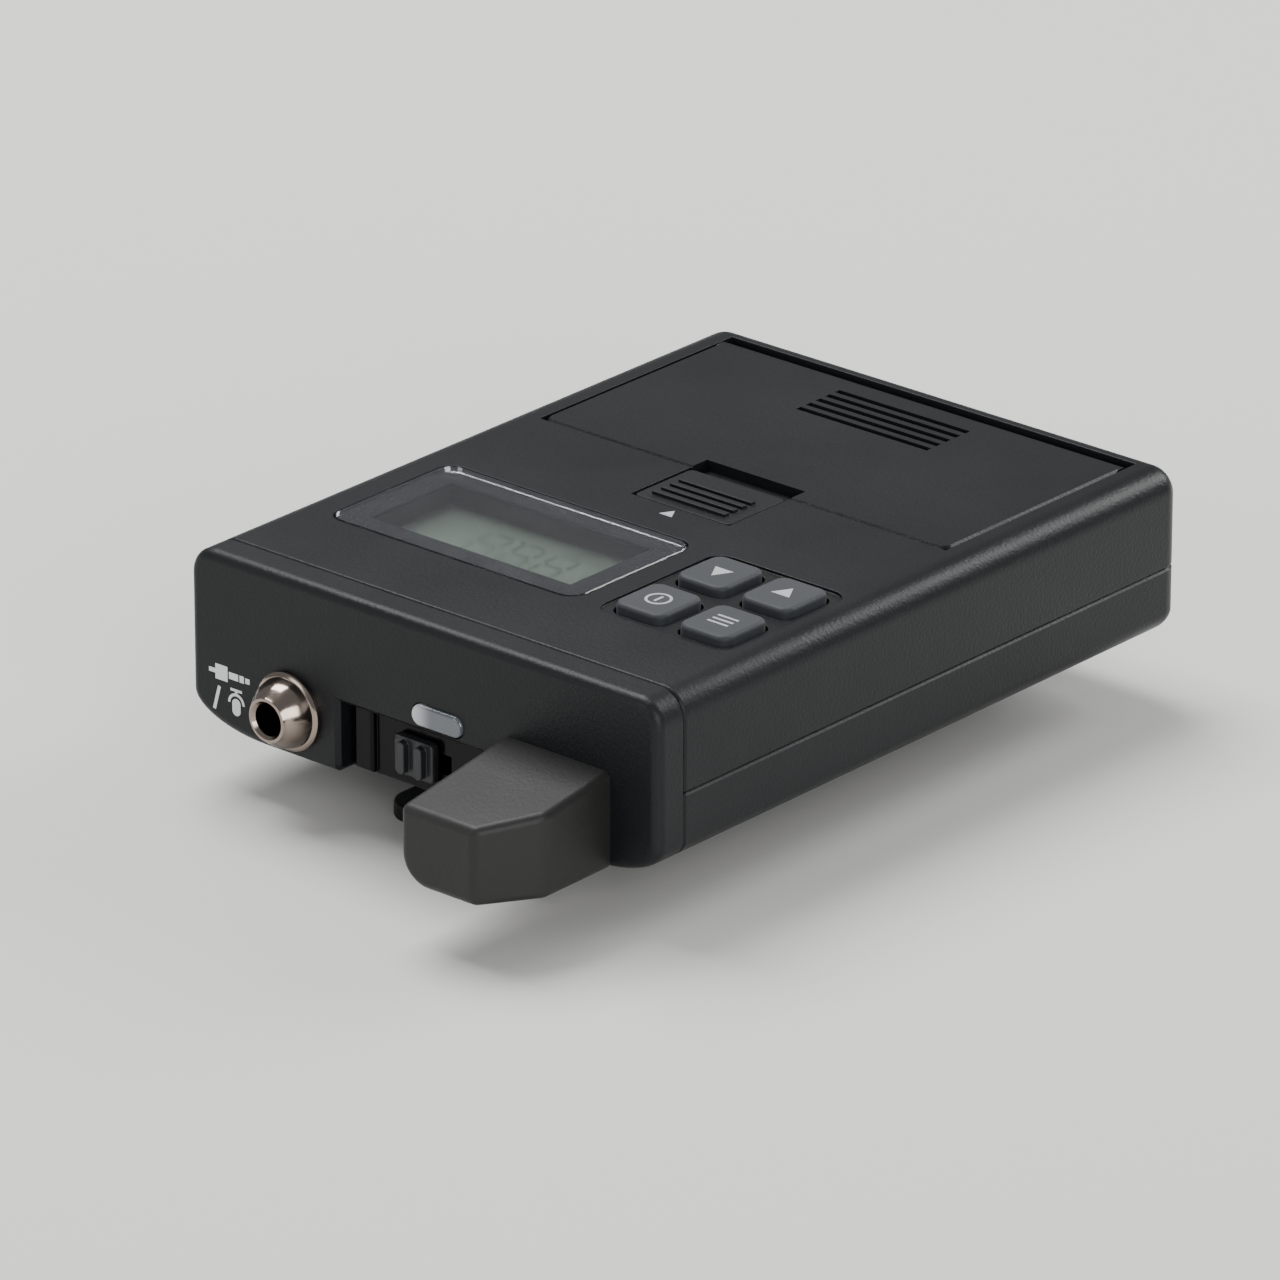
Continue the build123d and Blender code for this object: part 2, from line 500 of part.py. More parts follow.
def key_cap(x, y):
    """A moulded key: rounded top, a flange that stops it falling out, and a stem."""
    with BuildPart() as key:
        with BuildSketch(Plane.XY.offset(Z_CEILING - 0.2)):
            with Locations((x, y)):
                RectangleRounded(KEY_LONG, KEY_WIDE, 1.4)
        extrude(amount=WALL + 0.2 + KEY_PROUD)
        fillet(key.faces().sort_by(Axis.Z)[-1].edges(), 0.5)
        with BuildSketch(Plane.XY.offset(Z_CEILING - 1.2)):
            with Locations((x, y)):
                RectangleRounded(KEY_LONG + 1.0, KEY_WIDE + 1.0, 1.6)
        extrude(amount=1.0)
        post(1.4, x, y, PLUNGER_TOP + KEY_TRAVEL + 0.05, Z_CEILING - 1.1)
    return key


for name, spot in KEY_SPOTS.items():
    save(key_cap(*spot), name)

# ------------------------------------------------------------------ battery bay
with BuildPart() as battery_tray:
    block(-21.4, 21.4, 16.6, 47.4, Z_FLOOR + 0.1, 9.0)
    block(-26.6, 26.6, 16.6, 47.4, Z_FLOOR + 0.8, 12.6)
    block(-28.8, 28.8, 16.0, 17.6, 12.0, TRAY_TOP)  # screens the cells from the boards
    for side in (-1, 1):
        wall = sorted((side * 27.6, side * 28.8))
        block(*wall, 16.6, 47.4, Z_BACK + BACK_CORNER_Z, TRAY_TOP)
        foot = sorted((side * 26.5, side * 28.8))
        block(*foot, 16.6, 47.4, Z_BACK + BACK_CORNER_Z, 12.6)
    for y in CELL_Y:
        rod(CELL_R + 0.2, -27.0, 27.0, y, CELL_Z, Mode.SUBTRACT)
    for side in (-1, 1):  # grooves for the contact plates
        groove = sorted((side * 26.5, side * 27.2))
        block(*groove, 16.0, 48.0, 11.0, 22.0, Mode.SUBTRACT)
    fillet(battery_tray.edges().filter_by(Axis.Z).group_by(Axis.Y)[0], 0.3)
save(battery_tray, "battery_tray")


def cell(y, nub_side):
    """A size AA cell across the bay, its positive nub at -X or +X."""
    half = CELL_LONG / 2
    body = sorted((-nub_side * half, nub_side * (half - 1.3)))
    nub = sorted((nub_side * (half - 1.4), nub_side * half))
    with BuildPart() as made:
        rod(CELL_R, *body, y, CELL_Z)
        fillet(made.edges().filter_by(GeomType.CIRCLE), 0.6)
        rod(2.75, *nub, y, CELL_Z)
    return made


save(cell(CELL_Y[0], 1), "battery_cell_near")
save(cell(CELL_Y[1], -1), "battery_cell_far")

with BuildPart() as contact_plates:
    for side in (-1, 1):
        plate = sorted((side * 26.75, side * 27.05))
        block(*plate, 18.0, 46.0, 11.2, 21.0)
    for y, side in zip(CELL_Y, (1, -1)):  # a dimple meets each positive nub
        dimple = sorted((side * (CELL_LONG / 2 + 0.02), side * 26.8))
        rod(1.6, *dimple, y, CELL_Z)
save(contact_plates, "contact_plates")

spring_starts = [(side * (CELL_LONG / 2 + 0.3), y, side) for y, side in zip(CELL_Y, (-1, 1))]
spring_coils = [helix_wire(2.6, 0.22, 0.52, 0.9, (x, y, CELL_Z), (side, 0, 0))
                for x, y, side in spring_starts]
with BuildPart() as contact_springs:
    for coil in spring_coils:
        add(coil.part)
save(contact_springs, "contact_springs")

with BuildPart() as battery_door:
    block(-DOOR_X, DOOR_X, DOOR_Y, HINGE_Y, Z_CEILING, Z_FRONT)
    fillet(battery_door.edges().filter_by(Axis.Z).group_by(Axis.Y)[0], 1.2)
    chamfer(battery_door.faces().sort_by(Axis.Z)[-1].edges().group_by(Axis.Y)[0], SEAM)
    rod(HINGE_R, -DOOR_X, DOOR_X, HINGE_Y, HINGE_Z)
    block(-7.8, 7.8, DOOR_Y, DOOR_Y + 3.6, Z_CEILING - 1.9, Z_CEILING + 0.1)
    block(-LATCH_HALF - RUN, LATCH_HALF + RUN, DOOR_Y - 1, DOOR_Y + LATCH_TRAVEL,
          Z_CEILING + 0.4, Z_FRONT + 1, Mode.SUBTRACT)
    for x in (-23.0, 23.0):  # stiffening ribs
        block(x - 0.6, x + 0.6, DOOR_Y + 6, HINGE_Y - 4, Z_CEILING - 0.5, Z_CEILING + 0.1)
    for step in range(5):  # finger grip grooves beside the hinge end
        y = HINGE_Y - 9.0 + 1.6 * step
        block(-9.0, 9.0, y - 0.4, y + 0.4, Z_FRONT - 0.4, Z_FRONT + 1, Mode.SUBTRACT)
    rod(HINGE_PIN_R + PIN_CLEARANCE, -DOOR_X - 1, DOOR_X + 1, HINGE_Y, HINGE_Z, Mode.SUBTRACT)
save(battery_door, "battery_door")

with BuildPart() as door_hinge_pin:
    rod(HINGE_PIN_R, -DOOR_X - 2.3, DOOR_X + 2.3, HINGE_Y, HINGE_Z)
save(door_hinge_pin, "door_hinge_pin")

with BuildPart() as door_pad:
    block(-20.0, 20.0, 30.4, 33.6, Z_CEILING - 1.5, Z_CEILING)
save(door_pad, "door_pad")

with BuildPart() as door_latch:
    block(-LATCH_HALF, LATCH_HALF, LATCH_Y, LATCH_Y + LATCH_LONG, Z_CEILING + 0.5,
          Z_FRONT - 0.1)
    fillet(door_latch.edges().filter_by(Axis.Z), 0.6)
    block(-LATCH_HALF + 0.6, LATCH_HALF - 0.6, LATCH_Y + 0.6, LATCH_Y + 6.8, Z_CEILING,
          Z_CEILING + 0.6)
    for step in range(4):  # thumb ridges
        y = LATCH_Y + 1.5 + 1.4 * step
        block(-5.0, 5.0, y - 0.4, y + 0.4, Z_FRONT - 0.2, Z_FRONT + 0.35)
    block(-1.8, 1.8, LATCH_Y + 1.9, LATCH_Y + 4.3, Z_CEILING - 2.6, Z_CEILING + 0.1)
    block(-3.0, 3.0, LATCH_Y + 1.9, LATCH_Y + 4.3, Z_CEILING - 2.8, Z_CEILING - 2.0)
save(door_latch, "door_latch")

with BuildPart() as charge_contacts:
    for x in (-6.0, 6.0):
        barrel(1.85, x, Y_TAIL - 0.7, Y_TAIL - 0.15, Z_BACK + 5)
        barrel(1.05, x, Y_TAIL - WALL - 0.7, Y_TAIL - 0.6, Z_BACK + 5)
save(charge_contacts, "charge_contacts")

# ------------------------------------------------------------------ belt clip
with BuildPart() as clip_bracket:
    block(-EAR_X1, EAR_X1, CLIP_Y - 5.0, CLIP_Y + 6.5, Z_BACK - 1.2, Z_BACK)
    for side in (-1, 1):
        ear = sorted((side * EAR_X0, side * EAR_X1))
        block(*ear, CLIP_Y - 2.4, CLIP_Y + 2.4, CLIP_Z, Z_BACK - 1.1)
        rod(2.4, *ear, CLIP_Y, CLIP_Z)
    rod(CLIP_PIN_R, -EAR_X1 - 1, EAR_X1 + 1, CLIP_Y, CLIP_Z, Mode.SUBTRACT)
    for x in (-7.5, 7.5):
        post(0.85, x, CLIP_Y, Z_BACK - 2, Z_BACK + 1, Mode.SUBTRACT)
save(clip_bracket, "clip_bracket")

with BuildPart() as bracket_screws:
    for x in (-7.5, 7.5):
        post(0.7, x, CLIP_Y, Z_BACK - 1.2, Z_FLOOR)
        post(1.5, x, CLIP_Y, Z_BACK - 1.65, Z_BACK - 1.2)
save(bracket_screws, "bracket_screws")

with BuildPart() as belt_clip:
    with BuildSketch(Plane.XY):
        with BuildLine():
            Polyline((-CLIP_HALF, CLIP_Y + 5.0), (-CLIP_HALF, CLIP_TIP), (CLIP_HALF, CLIP_TIP),
                     (CLIP_HALF, CLIP_Y + 5.0), (EAR_X0 - 0.4, CLIP_Y + 3.2),
                     (EAR_X0 - 0.4, CLIP_Y - 3.2), (CLIP_HALF - 1.5, CLIP_Y - 5.0),
                     (CLIP_HALF - 1.5, CLIP_HEAD), (1.5 - CLIP_HALF, CLIP_HEAD),
                     (1.5 - CLIP_HALF, CLIP_Y - 5.0), (0.4 - EAR_X0, CLIP_Y - 3.2),
                     (0.4 - EAR_X0, CLIP_Y + 3.2), close=True)
        make_face()
    extrude(amount=CLIP_PLATE)
    blade_ends = belt_clip.edges().filter_by(Axis.Z).group_by(Axis.Y)
    fillet(blade_ends[-1] + blade_ends[0], 3.0)
    with BuildSketch(Plane.YZ.offset(-CLIP_HALF + 3.0)):  # the lip that closes on the pack
        with BuildLine():
            Polyline((CLIP_TIP - 6.5, CLIP_PLATE - 0.2), (CLIP_TIP - 3.4, Z_BACK - 0.15),
                     (CLIP_TIP - 2.2, Z_BACK - 0.15), (CLIP_TIP - 0.4, CLIP_PLATE - 0.2),
                     close=True)
        make_face()
    extrude(amount=2 * CLIP_HALF - 6.0)
    rod(CLIP_BARREL_R, 0.4 - EAR_X0, EAR_X0 - 0.4, CLIP_Y, CLIP_Z)
    block(-4.6, 4.6, CLIP_Y - 3, CLIP_Y + 3, 0.6, CLIP_Z + 3, Mode.SUBTRACT)  # spring gap
    rod(CLIP_PIN_R + PIN_CLEARANCE, -EAR_X1, EAR_X1, CLIP_Y, CLIP_Z, Mode.SUBTRACT)
    for step in range(4):  # thumb grip on the head
        y = CLIP_HEAD + 1.6 + 1.5 * step
        block(-7.0, 7.0, y - 0.4, y + 0.4, -1, 0.35, Mode.SUBTRACT)
    fillet(belt_clip.faces().sort_by(Axis.Z)[0].edges().filter_by(Axis.X).group_by(Axis.Y)[-1],
           0.6)
save(belt_clip, "belt_clip")

with BuildPart() as clip_pin:
    rod(CLIP_PIN_R, -EAR_X1 - 0.4, EAR_X1 + 0.4, CLIP_Y, CLIP_Z)
save(clip_pin, "clip_pin")

clip_spring = helix_wire(1.45, 0.3, 0.9, 6.3, (-3.15, CLIP_Y, CLIP_Z), (1, 0, 0))
save(clip_spring, "clip_spring")
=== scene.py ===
# %% [markdown]
# # A pocket transmitter pack in Blender
#
# The pack is a small radio transmitter that rides on a belt. Its casing, keys, door, clip and
# every other working part come in as a finished model, and this script gives them their looks:
# real plastics, rubber and metal, small moulded and printed details, and soft studio light.
# All lengths are in metres, and `mm()` turns a size in millimetres into metres.

# %% Load the model
import json
from math import cos, pi, radians, sin

import bmesh
import bpy
from mathutils import Matrix, Vector


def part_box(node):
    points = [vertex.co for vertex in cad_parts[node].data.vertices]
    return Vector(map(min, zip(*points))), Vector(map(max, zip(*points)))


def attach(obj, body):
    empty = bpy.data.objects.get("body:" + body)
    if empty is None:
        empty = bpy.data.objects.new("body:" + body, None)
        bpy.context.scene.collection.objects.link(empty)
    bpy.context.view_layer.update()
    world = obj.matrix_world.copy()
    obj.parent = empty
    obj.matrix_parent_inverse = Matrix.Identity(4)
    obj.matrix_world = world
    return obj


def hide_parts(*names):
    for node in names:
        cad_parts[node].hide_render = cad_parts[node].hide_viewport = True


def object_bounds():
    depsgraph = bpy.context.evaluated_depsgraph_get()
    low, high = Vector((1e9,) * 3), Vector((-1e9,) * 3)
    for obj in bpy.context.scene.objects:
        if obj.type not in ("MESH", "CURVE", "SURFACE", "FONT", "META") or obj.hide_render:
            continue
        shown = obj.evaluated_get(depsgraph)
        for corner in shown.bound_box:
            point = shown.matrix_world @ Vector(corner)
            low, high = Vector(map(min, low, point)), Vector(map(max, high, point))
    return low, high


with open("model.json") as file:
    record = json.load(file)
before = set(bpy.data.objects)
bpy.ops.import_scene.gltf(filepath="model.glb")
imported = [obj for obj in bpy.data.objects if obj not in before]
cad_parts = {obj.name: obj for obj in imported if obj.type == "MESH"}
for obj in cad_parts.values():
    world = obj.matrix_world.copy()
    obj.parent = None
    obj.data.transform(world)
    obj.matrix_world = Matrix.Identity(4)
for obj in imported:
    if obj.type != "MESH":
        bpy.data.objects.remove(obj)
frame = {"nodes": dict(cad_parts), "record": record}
cad_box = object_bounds()
nodes = frame["nodes"]
body_of = {node: body for body, members in frame["record"]["behaviour"]["bodies"].items()
           for node in members}
print(len(nodes), "parts, box", cad_box)


def mm(value):
    """Millimetres as metres."""
    return value / 1000


# %% [markdown]
# ## Camera
#
# The pack is seen from its end-cap corner, a little from above: 41 degrees round from the end
# cap's front, 23 degrees up. A long lens far away keeps parallel edges nearly parallel.

# %% Camera
TURN, RISE = radians(41), radians(23)
lowest, highest = (Vector(corner) for corner in cad_box)
middle = (lowest + highest) / 2
DISTANCE, LENS = 1.10, 298

camera = bpy.data.objects.new("camera", bpy.data.cameras.new("camera"))
bpy.context.scene.collection.objects.link(camera)
bpy.context.scene.camera = camera
towards_camera = Vector((sin(TURN) * cos(RISE), -cos(TURN) * cos(RISE), sin(RISE)))
camera.location = middle + DISTANCE * towards_camera
camera.rotation_euler = (-towards_camera).to_track_quat("-Z", "Y").to_euler()
camera.data.lens = LENS
camera.data.clip_start, camera.data.clip_end = 0.01, 20
print("camera at", [round(value, 3) for value in camera.location])

# %% [markdown]
# ## Material helpers
#
# Colours are written the way paint programs write them, as sRGB hex, and shaders work in linear
# light, so one function converts. Another adds a node, sets it up and wires it. Everything else
# is a short recipe for each real material.

# %% Colour and node helpers
def linear(code):
    """An sRGB hex colour such as #2e3238 as linear red, green, blue and alpha."""
    shares = [int(code[i:i + 2], 16) / 255 for i in (1, 3, 5)]
    return [s / 12.92 if s <= 0.04045 else ((s + 0.055) / 1.055) ** 2.4 for s in shares] + [1]


def add_node(tree, kind, inputs=None, **settings):
    """Adds a shader node. A socket given as an input's value is linked, other values are set."""
    node = tree.nodes.new("ShaderNode" + kind)
    for name, value in settings.items():
        setattr(node, name, value)
    for name, value in (inputs or {}).items():
        if isinstance(value, bpy.types.NodeSocket):
            tree.links.new(value, node.inputs[name])
        else:
            node.inputs[name].default_value = value
    return node


def start_material(name, **sockets):
    """A material with one Principled shader, its fixed sockets set. Returns all three parts."""
    material = bpy.data.materials.new(name)
    material.use_nodes = True
    shader = material.node_tree.nodes["Principled BSDF"]
    for socket, value in sockets.items():
        shader.inputs[socket.replace("_", " ")].default_value = value
    return material, material.node_tree, shader


def per_mm(size):
    """The texture scale that makes one feature this many millimetres wide."""
    return 1 / mm(size)


# %% [markdown]
# ## Satin ABS for the casing
#
# The casing is injection-moulded ABS. The mould was spark eroded, which leaves a fine, even
# grain that scatters light, so the blue-black plastic looks satin. Handling polishes it a little
# in places. Grain comes from a fine noise in the bump, and the slow polish from a broad noise in
# the roughness. The grain is 0.4 mm wide, coarser than the real 0.2 mm, so that it shows.

# %% Casing plastic
def satin_abs(name, code, dark_code, rough=0.42, grain_mm=0.4, depth_mm=0.04):
    """Spark-eroded ABS in a colour, with slow shifts towards a second one."""
    material, tree, shader = start_material(name, IOR=1.53, Specular_IOR_Level=0.22)
    place = add_node(tree, "TexCoord").outputs["Object"]
    cloud = add_node(tree, "TexNoise", {"Vector": place, "Scale": per_mm(22), "Detail": 3.0,
                                        "Roughness": 0.55})
    grain = add_node(tree, "TexNoise", {"Vector": place, "Scale": per_mm(grain_mm),
                                        "Detail": 2.0, "Roughness": 0.6})
    speck = add_node(tree, "MapRange", {"Value": grain.outputs["Fac"], "From Min": 0.35,
                                        "From Max": 0.75, "To Min": 0.0, "To Max": 0.35})
    tone = add_node(tree, "Math", {0: cloud.outputs["Fac"], 1: speck.outputs["Result"]},
                    operation="ADD", use_clamp=True)
    colour = add_node(tree, "Mix", {0: tone.outputs["Value"], 6: linear(dark_code),
                                    7: linear(code)}, data_type="RGBA")
    tree.links.new(colour.outputs[2], shader.inputs["Base Color"])
    polish = add_node(tree, "MapRange", {"Value": cloud.outputs["Fac"], "From Min": 0.3,
                                         "From Max": 0.7, "To Min": rough - 0.05,
                                         "To Max": rough + 0.06})
    tree.links.new(polish.outputs["Result"], shader.inputs["Roughness"])
    bump = add_node(tree, "Bump", {"Height": grain.outputs["Fac"], "Strength": 1.0,
                                   "Distance": mm(depth_mm)})
    tree.links.new(bump.outputs["Normal"], shader.inputs["Normal"])
    return material


casing_abs = satin_abs("spark eroded ABS, blue black", "#16181a", "#0f1113")
clip_nylon = satin_abs("glass filled nylon, black", "#191a1c", "#111213", rough=0.5,
                       grain_mm=0.6, depth_mm=0.04)
inner_plastic = satin_abs("moulded polycarbonate, black", "#1f1f20", "#161617", rough=0.5)
print("casing plastics made")

# %% [markdown]
# ## Thermoplastic rubber for the antenna
#
# The stub antenna is dipped in a soft black elastomer. It is neutral grey next to the bluer
# casing, with a broad, dull highlight and a faint bloom that makes grazing edges paler. Sheen
# gives the bloom.

# %% Antenna rubber
def soft_rubber(name, code, pale_code, rough=0.56, sheen=0.18, grain_mm=0.5):
    """Matt elastomer with a fine mould grain and a faint bloom."""
    material, tree, shader = start_material(name, IOR=1.5, Specular_IOR_Level=0.35,
                                            Sheen_Weight=sheen, Sheen_Roughness=0.4)
    place = add_node(tree, "TexCoord").outputs["Object"]
    grain = add_node(tree, "TexNoise", {"Vector": place, "Scale": per_mm(grain_mm),
                                        "Detail": 3.0, "Roughness": 0.65})
    bloom = add_node(tree, "TexNoise", {"Vector": place, "Scale": per_mm(9), "Detail": 4.0})
    colour = add_node(tree, "Mix", {0: bloom.outputs["Fac"], 6: linear(code),
                                    7: linear(pale_code)}, data_type="RGBA")
    tree.links.new(colour.outputs[2], shader.inputs["Base Color"])
    dull = add_node(tree, "MapRange", {"Value": bloom.outputs["Fac"], "From Min": 0.3,
                                       "From Max": 0.7, "To Min": rough - 0.06,
                                       "To Max": rough + 0.06})
    tree.links.new(dull.outputs["Result"], shader.inputs["Roughness"])
    bump = add_node(tree, "Bump", {"Height": grain.outputs["Fac"], "Strength": 0.9,
                                   "Distance": mm(0.035)})
    tree.links.new(bump.outputs["Normal"], shader.inputs["Normal"])
    return material


antenna_rubber = soft_rubber("thermoplastic elastomer, dark grey", "#191918", "#20201f",
                             rough=0.5, sheen=0.05)
key_rubber = soft_rubber("silicone rubber, charcoal", "#2a2d31", "#33363b", rough=0.6,
                         sheen=0.12)
foam_pad = soft_rubber("closed cell foam, black", "#1d1d1e", "#29292a", rough=0.85,
                       grain_mm=0.8)
print("rubbers made")

# %% [markdown]
# ## Gloss plastic
#
# The insert behind the slide switch comes from a polished mould. Clean black gloss plastic shows
# sharp reflections, broken only by hairline scratches, which are a stretched noise in the bump
# and a trace of dust-like dulling in the roughness.

# %% Gloss black and acetal
def gloss_plastic(name, code, rough=0.1, gloss=0.5):
    """Polished plastic with hairline scratches that run mostly one way."""
    material, tree, shader = start_material(name, Base_Color=linear(code), IOR=1.45,
                                            Specular_IOR_Level=gloss)
    place = add_node(tree, "TexCoord").outputs["Object"]
    stretched = add_node(tree, "Mapping", {"Vector": place, "Scale": (0.12, 1.0, 1.0),
                                           "Rotation": (0.0, 0.35, 0.2)})
    scratches = add_node(tree, "TexNoise", {"Vector": stretched.outputs["Vector"],
                                            "Scale": per_mm(0.3), "Detail": 4.0})
    bump = add_node(tree, "Bump", {"Height": scratches.outputs["Fac"], "Strength": 0.12,
                                   "Distance": mm(0.01)})
    tree.links.new(bump.outputs["Normal"], shader.inputs["Normal"])
    haze = add_node(tree, "TexNoise", {"Vector": place, "Scale": per_mm(5), "Detail": 5.0})
    dull = add_node(tree, "MapRange", {"Value": haze.outputs["Fac"], "From Min": 0.35,
                                       "From Max": 0.7, "To Min": rough,
                                       "To Max": rough + 0.1})
    tree.links.new(dull.outputs["Result"], shader.inputs["Roughness"])
    return material


gloss_black = gloss_plastic("polished ABS, black", "#070708", rough=0.16, gloss=0.18)
acetal = gloss_plastic("moulded acetal, dark grey", "#26272a", rough=0.26)
print("gloss plastics made")

# %% [markdown]
# ## Metals
#
# The input socket is turned brass under bright nickel. Nickel is warmer than chrome, and turning
# leaves faint rings round the axis, so its bump is a wave in rings about the jack's own axis.
# Springs, pins and sheet steel are duller, with a drawn or rolled grain.

# %% Nickel, steel, gold and copper
def plated_metal(name, code, rough, grain_mm=0.12, strength=0.06):
    """Metal with a fine random grain, for wire, sheet and plated pieces."""
    material, tree, shader = start_material(name, Metallic=1.0, Base_Color=linear(code))
    place = add_node(tree, "TexCoord").outputs["Object"]
    cloud = add_node(tree, "TexNoise", {"Vector": place, "Scale": per_mm(2.5), "Detail": 4.0})
    dull = add_node(tree, "MapRange", {"Value": cloud.outputs["Fac"], "From Min": 0.3,
                                       "From Max": 0.75, "To Min": rough * 0.8,
                                       "To Max": rough * 1.35})
    tree.links.new(dull.outputs["Result"], shader.inputs["Roughness"])
    grain = add_node(tree, "TexNoise", {"Vector": place, "Scale": per_mm(grain_mm)})
    bump = add_node(tree, "Bump", {"Height": grain.outputs["Fac"], "Strength": strength,
                                   "Distance": mm(0.01)})
    tree.links.new(bump.outputs["Normal"], shader.inputs["Normal"])
    return material


WAVE_GAIN = 20  # radians that the wave texture makes of one unit at scale 1


def turned_nickel(name, code, axis_x, axis_z, rough):
    """Bright nickel over lathe rings that are centred on an axis along Y."""
    material, tree, shader = start_material(name, Metallic=1.0, Base_Color=linear(code))
    place = add_node(tree, "TexCoord").outputs["Object"]
    centred = add_node(tree, "Mapping", {"Vector": place, "Location": (-axis_x, 0, -axis_z)})
    rings = add_node(tree, "TexWave", {"Vector": centred.outputs["Vector"],
                                       "Scale": per_mm(0.22) / WAVE_GAIN, "Distortion": 0.6,
                                       "Detail": 2.0}, wave_type="RINGS",
                     rings_direction="Y")
    stains = add_node(tree, "TexNoise", {"Vector": place, "Scale": per_mm(1.6),
                                         "Detail": 5.0})
    dull = add_node(tree, "MapRange", {"Value": stains.outputs["Fac"], "From Min": 0.35,
                                       "From Max": 0.75, "To Min": rough,
                                       "To Max": rough + 0.14})
    tree.links.new(dull.outputs["Result"], shader.inputs["Roughness"])
    bump = add_node(tree, "Bump", {"Height": rings.outputs["Fac"], "Strength": 0.05,
                                   "Distance": mm(0.02)})
    tree.links.new(bump.outputs["Normal"], shader.inputs["Normal"])
    return material


jack_low, jack_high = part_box("jack_bushing")
JACK_X, JACK_Z = ((jack_low + jack_high) / 2).x, ((jack_low + jack_high) / 2).z
nickel = turned_nickel("turned brass, nickel plated", "#9c8f85", JACK_X, JACK_Z, 0.12)
steel = plated_metal("spring steel, bright", "#b9babc", 0.28)
black_steel = plated_metal("steel, black oxide", "#3a3a3c", 0.38)
gold = plated_metal("brass, gold flashed", "#d9b36a", 0.2)
copper = plated_metal("copper wire, enamelled", "#b8734a", 0.25)
can_sleeve = plated_metal("aluminium can, drawn", "#a9adb3", 0.3)
print("metals made")

# %% [markdown]
# ## Clear and printed materials
#
# The status window is frosted acrylic: part of the light passes and part scatters. Its end away
# from the antenna is painted paler, a painted highlight where that rounded end catches the light.
# The display's window is smoked acrylic over liquid-crystal glass. Print is a thin layer of matt
# ink, slightly uneven where the pad lifted.

# %% Acrylic, display glass and inks
def frosted_acrylic(name, code, highlight_code, highlight_x, rough):
    """Milky acrylic with a painted highlight: paler at one end along X."""
    material, tree, shader = start_material(name, IOR=1.49, Transmission_Weight=0.35,
                                            Coat_Weight=0.8)
    place = add_node(tree, "TexCoord").outputs["Object"]
    along = add_node(tree, "SeparateXYZ", {"Vector": place})
    # painted highlight: the colour turns pale over 3 mm towards the low-X end
    clear = add_node(tree, "MapRange", {"Value": along.outputs["X"], "From Min": highlight_x,
                                        "From Max": highlight_x + mm(3.0)},
                     interpolation_type="SMOOTHSTEP")
    colour = add_node(tree, "Mix", {0: clear.outputs["Result"], 6: linear(highlight_code),
                                    7: linear(code)}, data_type="RGBA")
    tree.links.new(colour.outputs[2], shader.inputs["Base Color"])
    frost = add_node(tree, "TexNoise", {"Vector": place, "Scale": per_mm(2.2), "Detail": 2.0})
    dull = add_node(tree, "MapRange", {"Value": frost.outputs["Fac"], "From Min": 0.3,
                                       "From Max": 0.7, "To Min": rough,
                                       "To Max": rough + 0.06})
    tree.links.new(dull.outputs["Result"], shader.inputs["Roughness"])
    return material


def smoked_acrylic(name, code):
    """Clear tinted sheet with a polished face and the odd smear."""
    material, tree, shader = start_material(name, IOR=1.49, Base_Color=linear(code),
                                            Transmission_Weight=1.0)
    place = add_node(tree, "TexCoord").outputs["Object"]
    smears = add_node(tree, "TexNoise", {"Vector": place, "Scale": per_mm(7), "Detail": 6.0,
                                         "Distortion": 0.8})
    dull = add_node(tree, "MapRange", {"Value": smears.outputs["Fac"], "From Min": 0.45,
                                       "From Max": 0.75, "To Min": 0.07, "To Max": 0.16})
    tree.links.new(dull.outputs["Result"], shader.inputs["Roughness"])
    return material


def ink(name, code, rough=0.6):
    """Pad-printed ink, a little thin in places."""
    material, tree, shader = start_material(name, IOR=1.45)
    place = add_node(tree, "TexCoord").outputs["Object"]
    patches = add_node(tree, "TexNoise", {"Vector": place, "Scale": per_mm(0.4),
                                          "Detail": 3.0})
    colour = add_node(tree, "Mix", {0: patches.outputs["Fac"], 6: linear(code),
                                    7: [c * 0.8 for c in linear(code)[:3]] + [1]},
                      data_type="RGBA")
    tree.links.new(colour.outputs[2], shader.inputs["Base Color"])
    dull = add_node(tree, "MapRange", {"Value": patches.outputs["Fac"], "To Min": rough - 0.1,
                                       "To Max": rough + 0.1})
    tree.links.new(dull.outputs["Result"], shader.inputs["Roughness"])
    return material


# the pale second colour is a painted highlight at the window's low-X end
frosted = frosted_acrylic("frosted acrylic", "#6a7078", "#e6ebf0",
                          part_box("light_pipe")[0].x, 0.14)
smoked = smoked_acrylic("smoked acrylic sheet", "#e2e4e8")
white_ink = ink("pad printing ink, white", "#e4e6e8")
grey_ink = ink("pad printing ink, light grey", "#b4b8bd")
black_mask = ink("screen printing ink, black", "#0c0c0d", rough=0.3)
lcd_glass = ink("liquid crystal glass, grey green", "#a7b49f", rough=0.3)
lcd_ghost = ink("liquid crystal segment, unlit", "#7f8c77", rough=0.3)
plate_film = ink("polyester label film, silver grey", "#8c8f94", rough=0.4)
print("clear and printed materials made")

# %% [markdown]
# ## Circuit board and parts
#
# Solder mask is green lacquer over glass epoxy. Copper tracks show through it as slightly paler,
# raised lines, so a brick pattern of long thin cells stands in for them, 1.2 mm apart.

# %% Board, epoxy and cell jacket
ROW = 0.25  # height of one row of bricks, in texture units


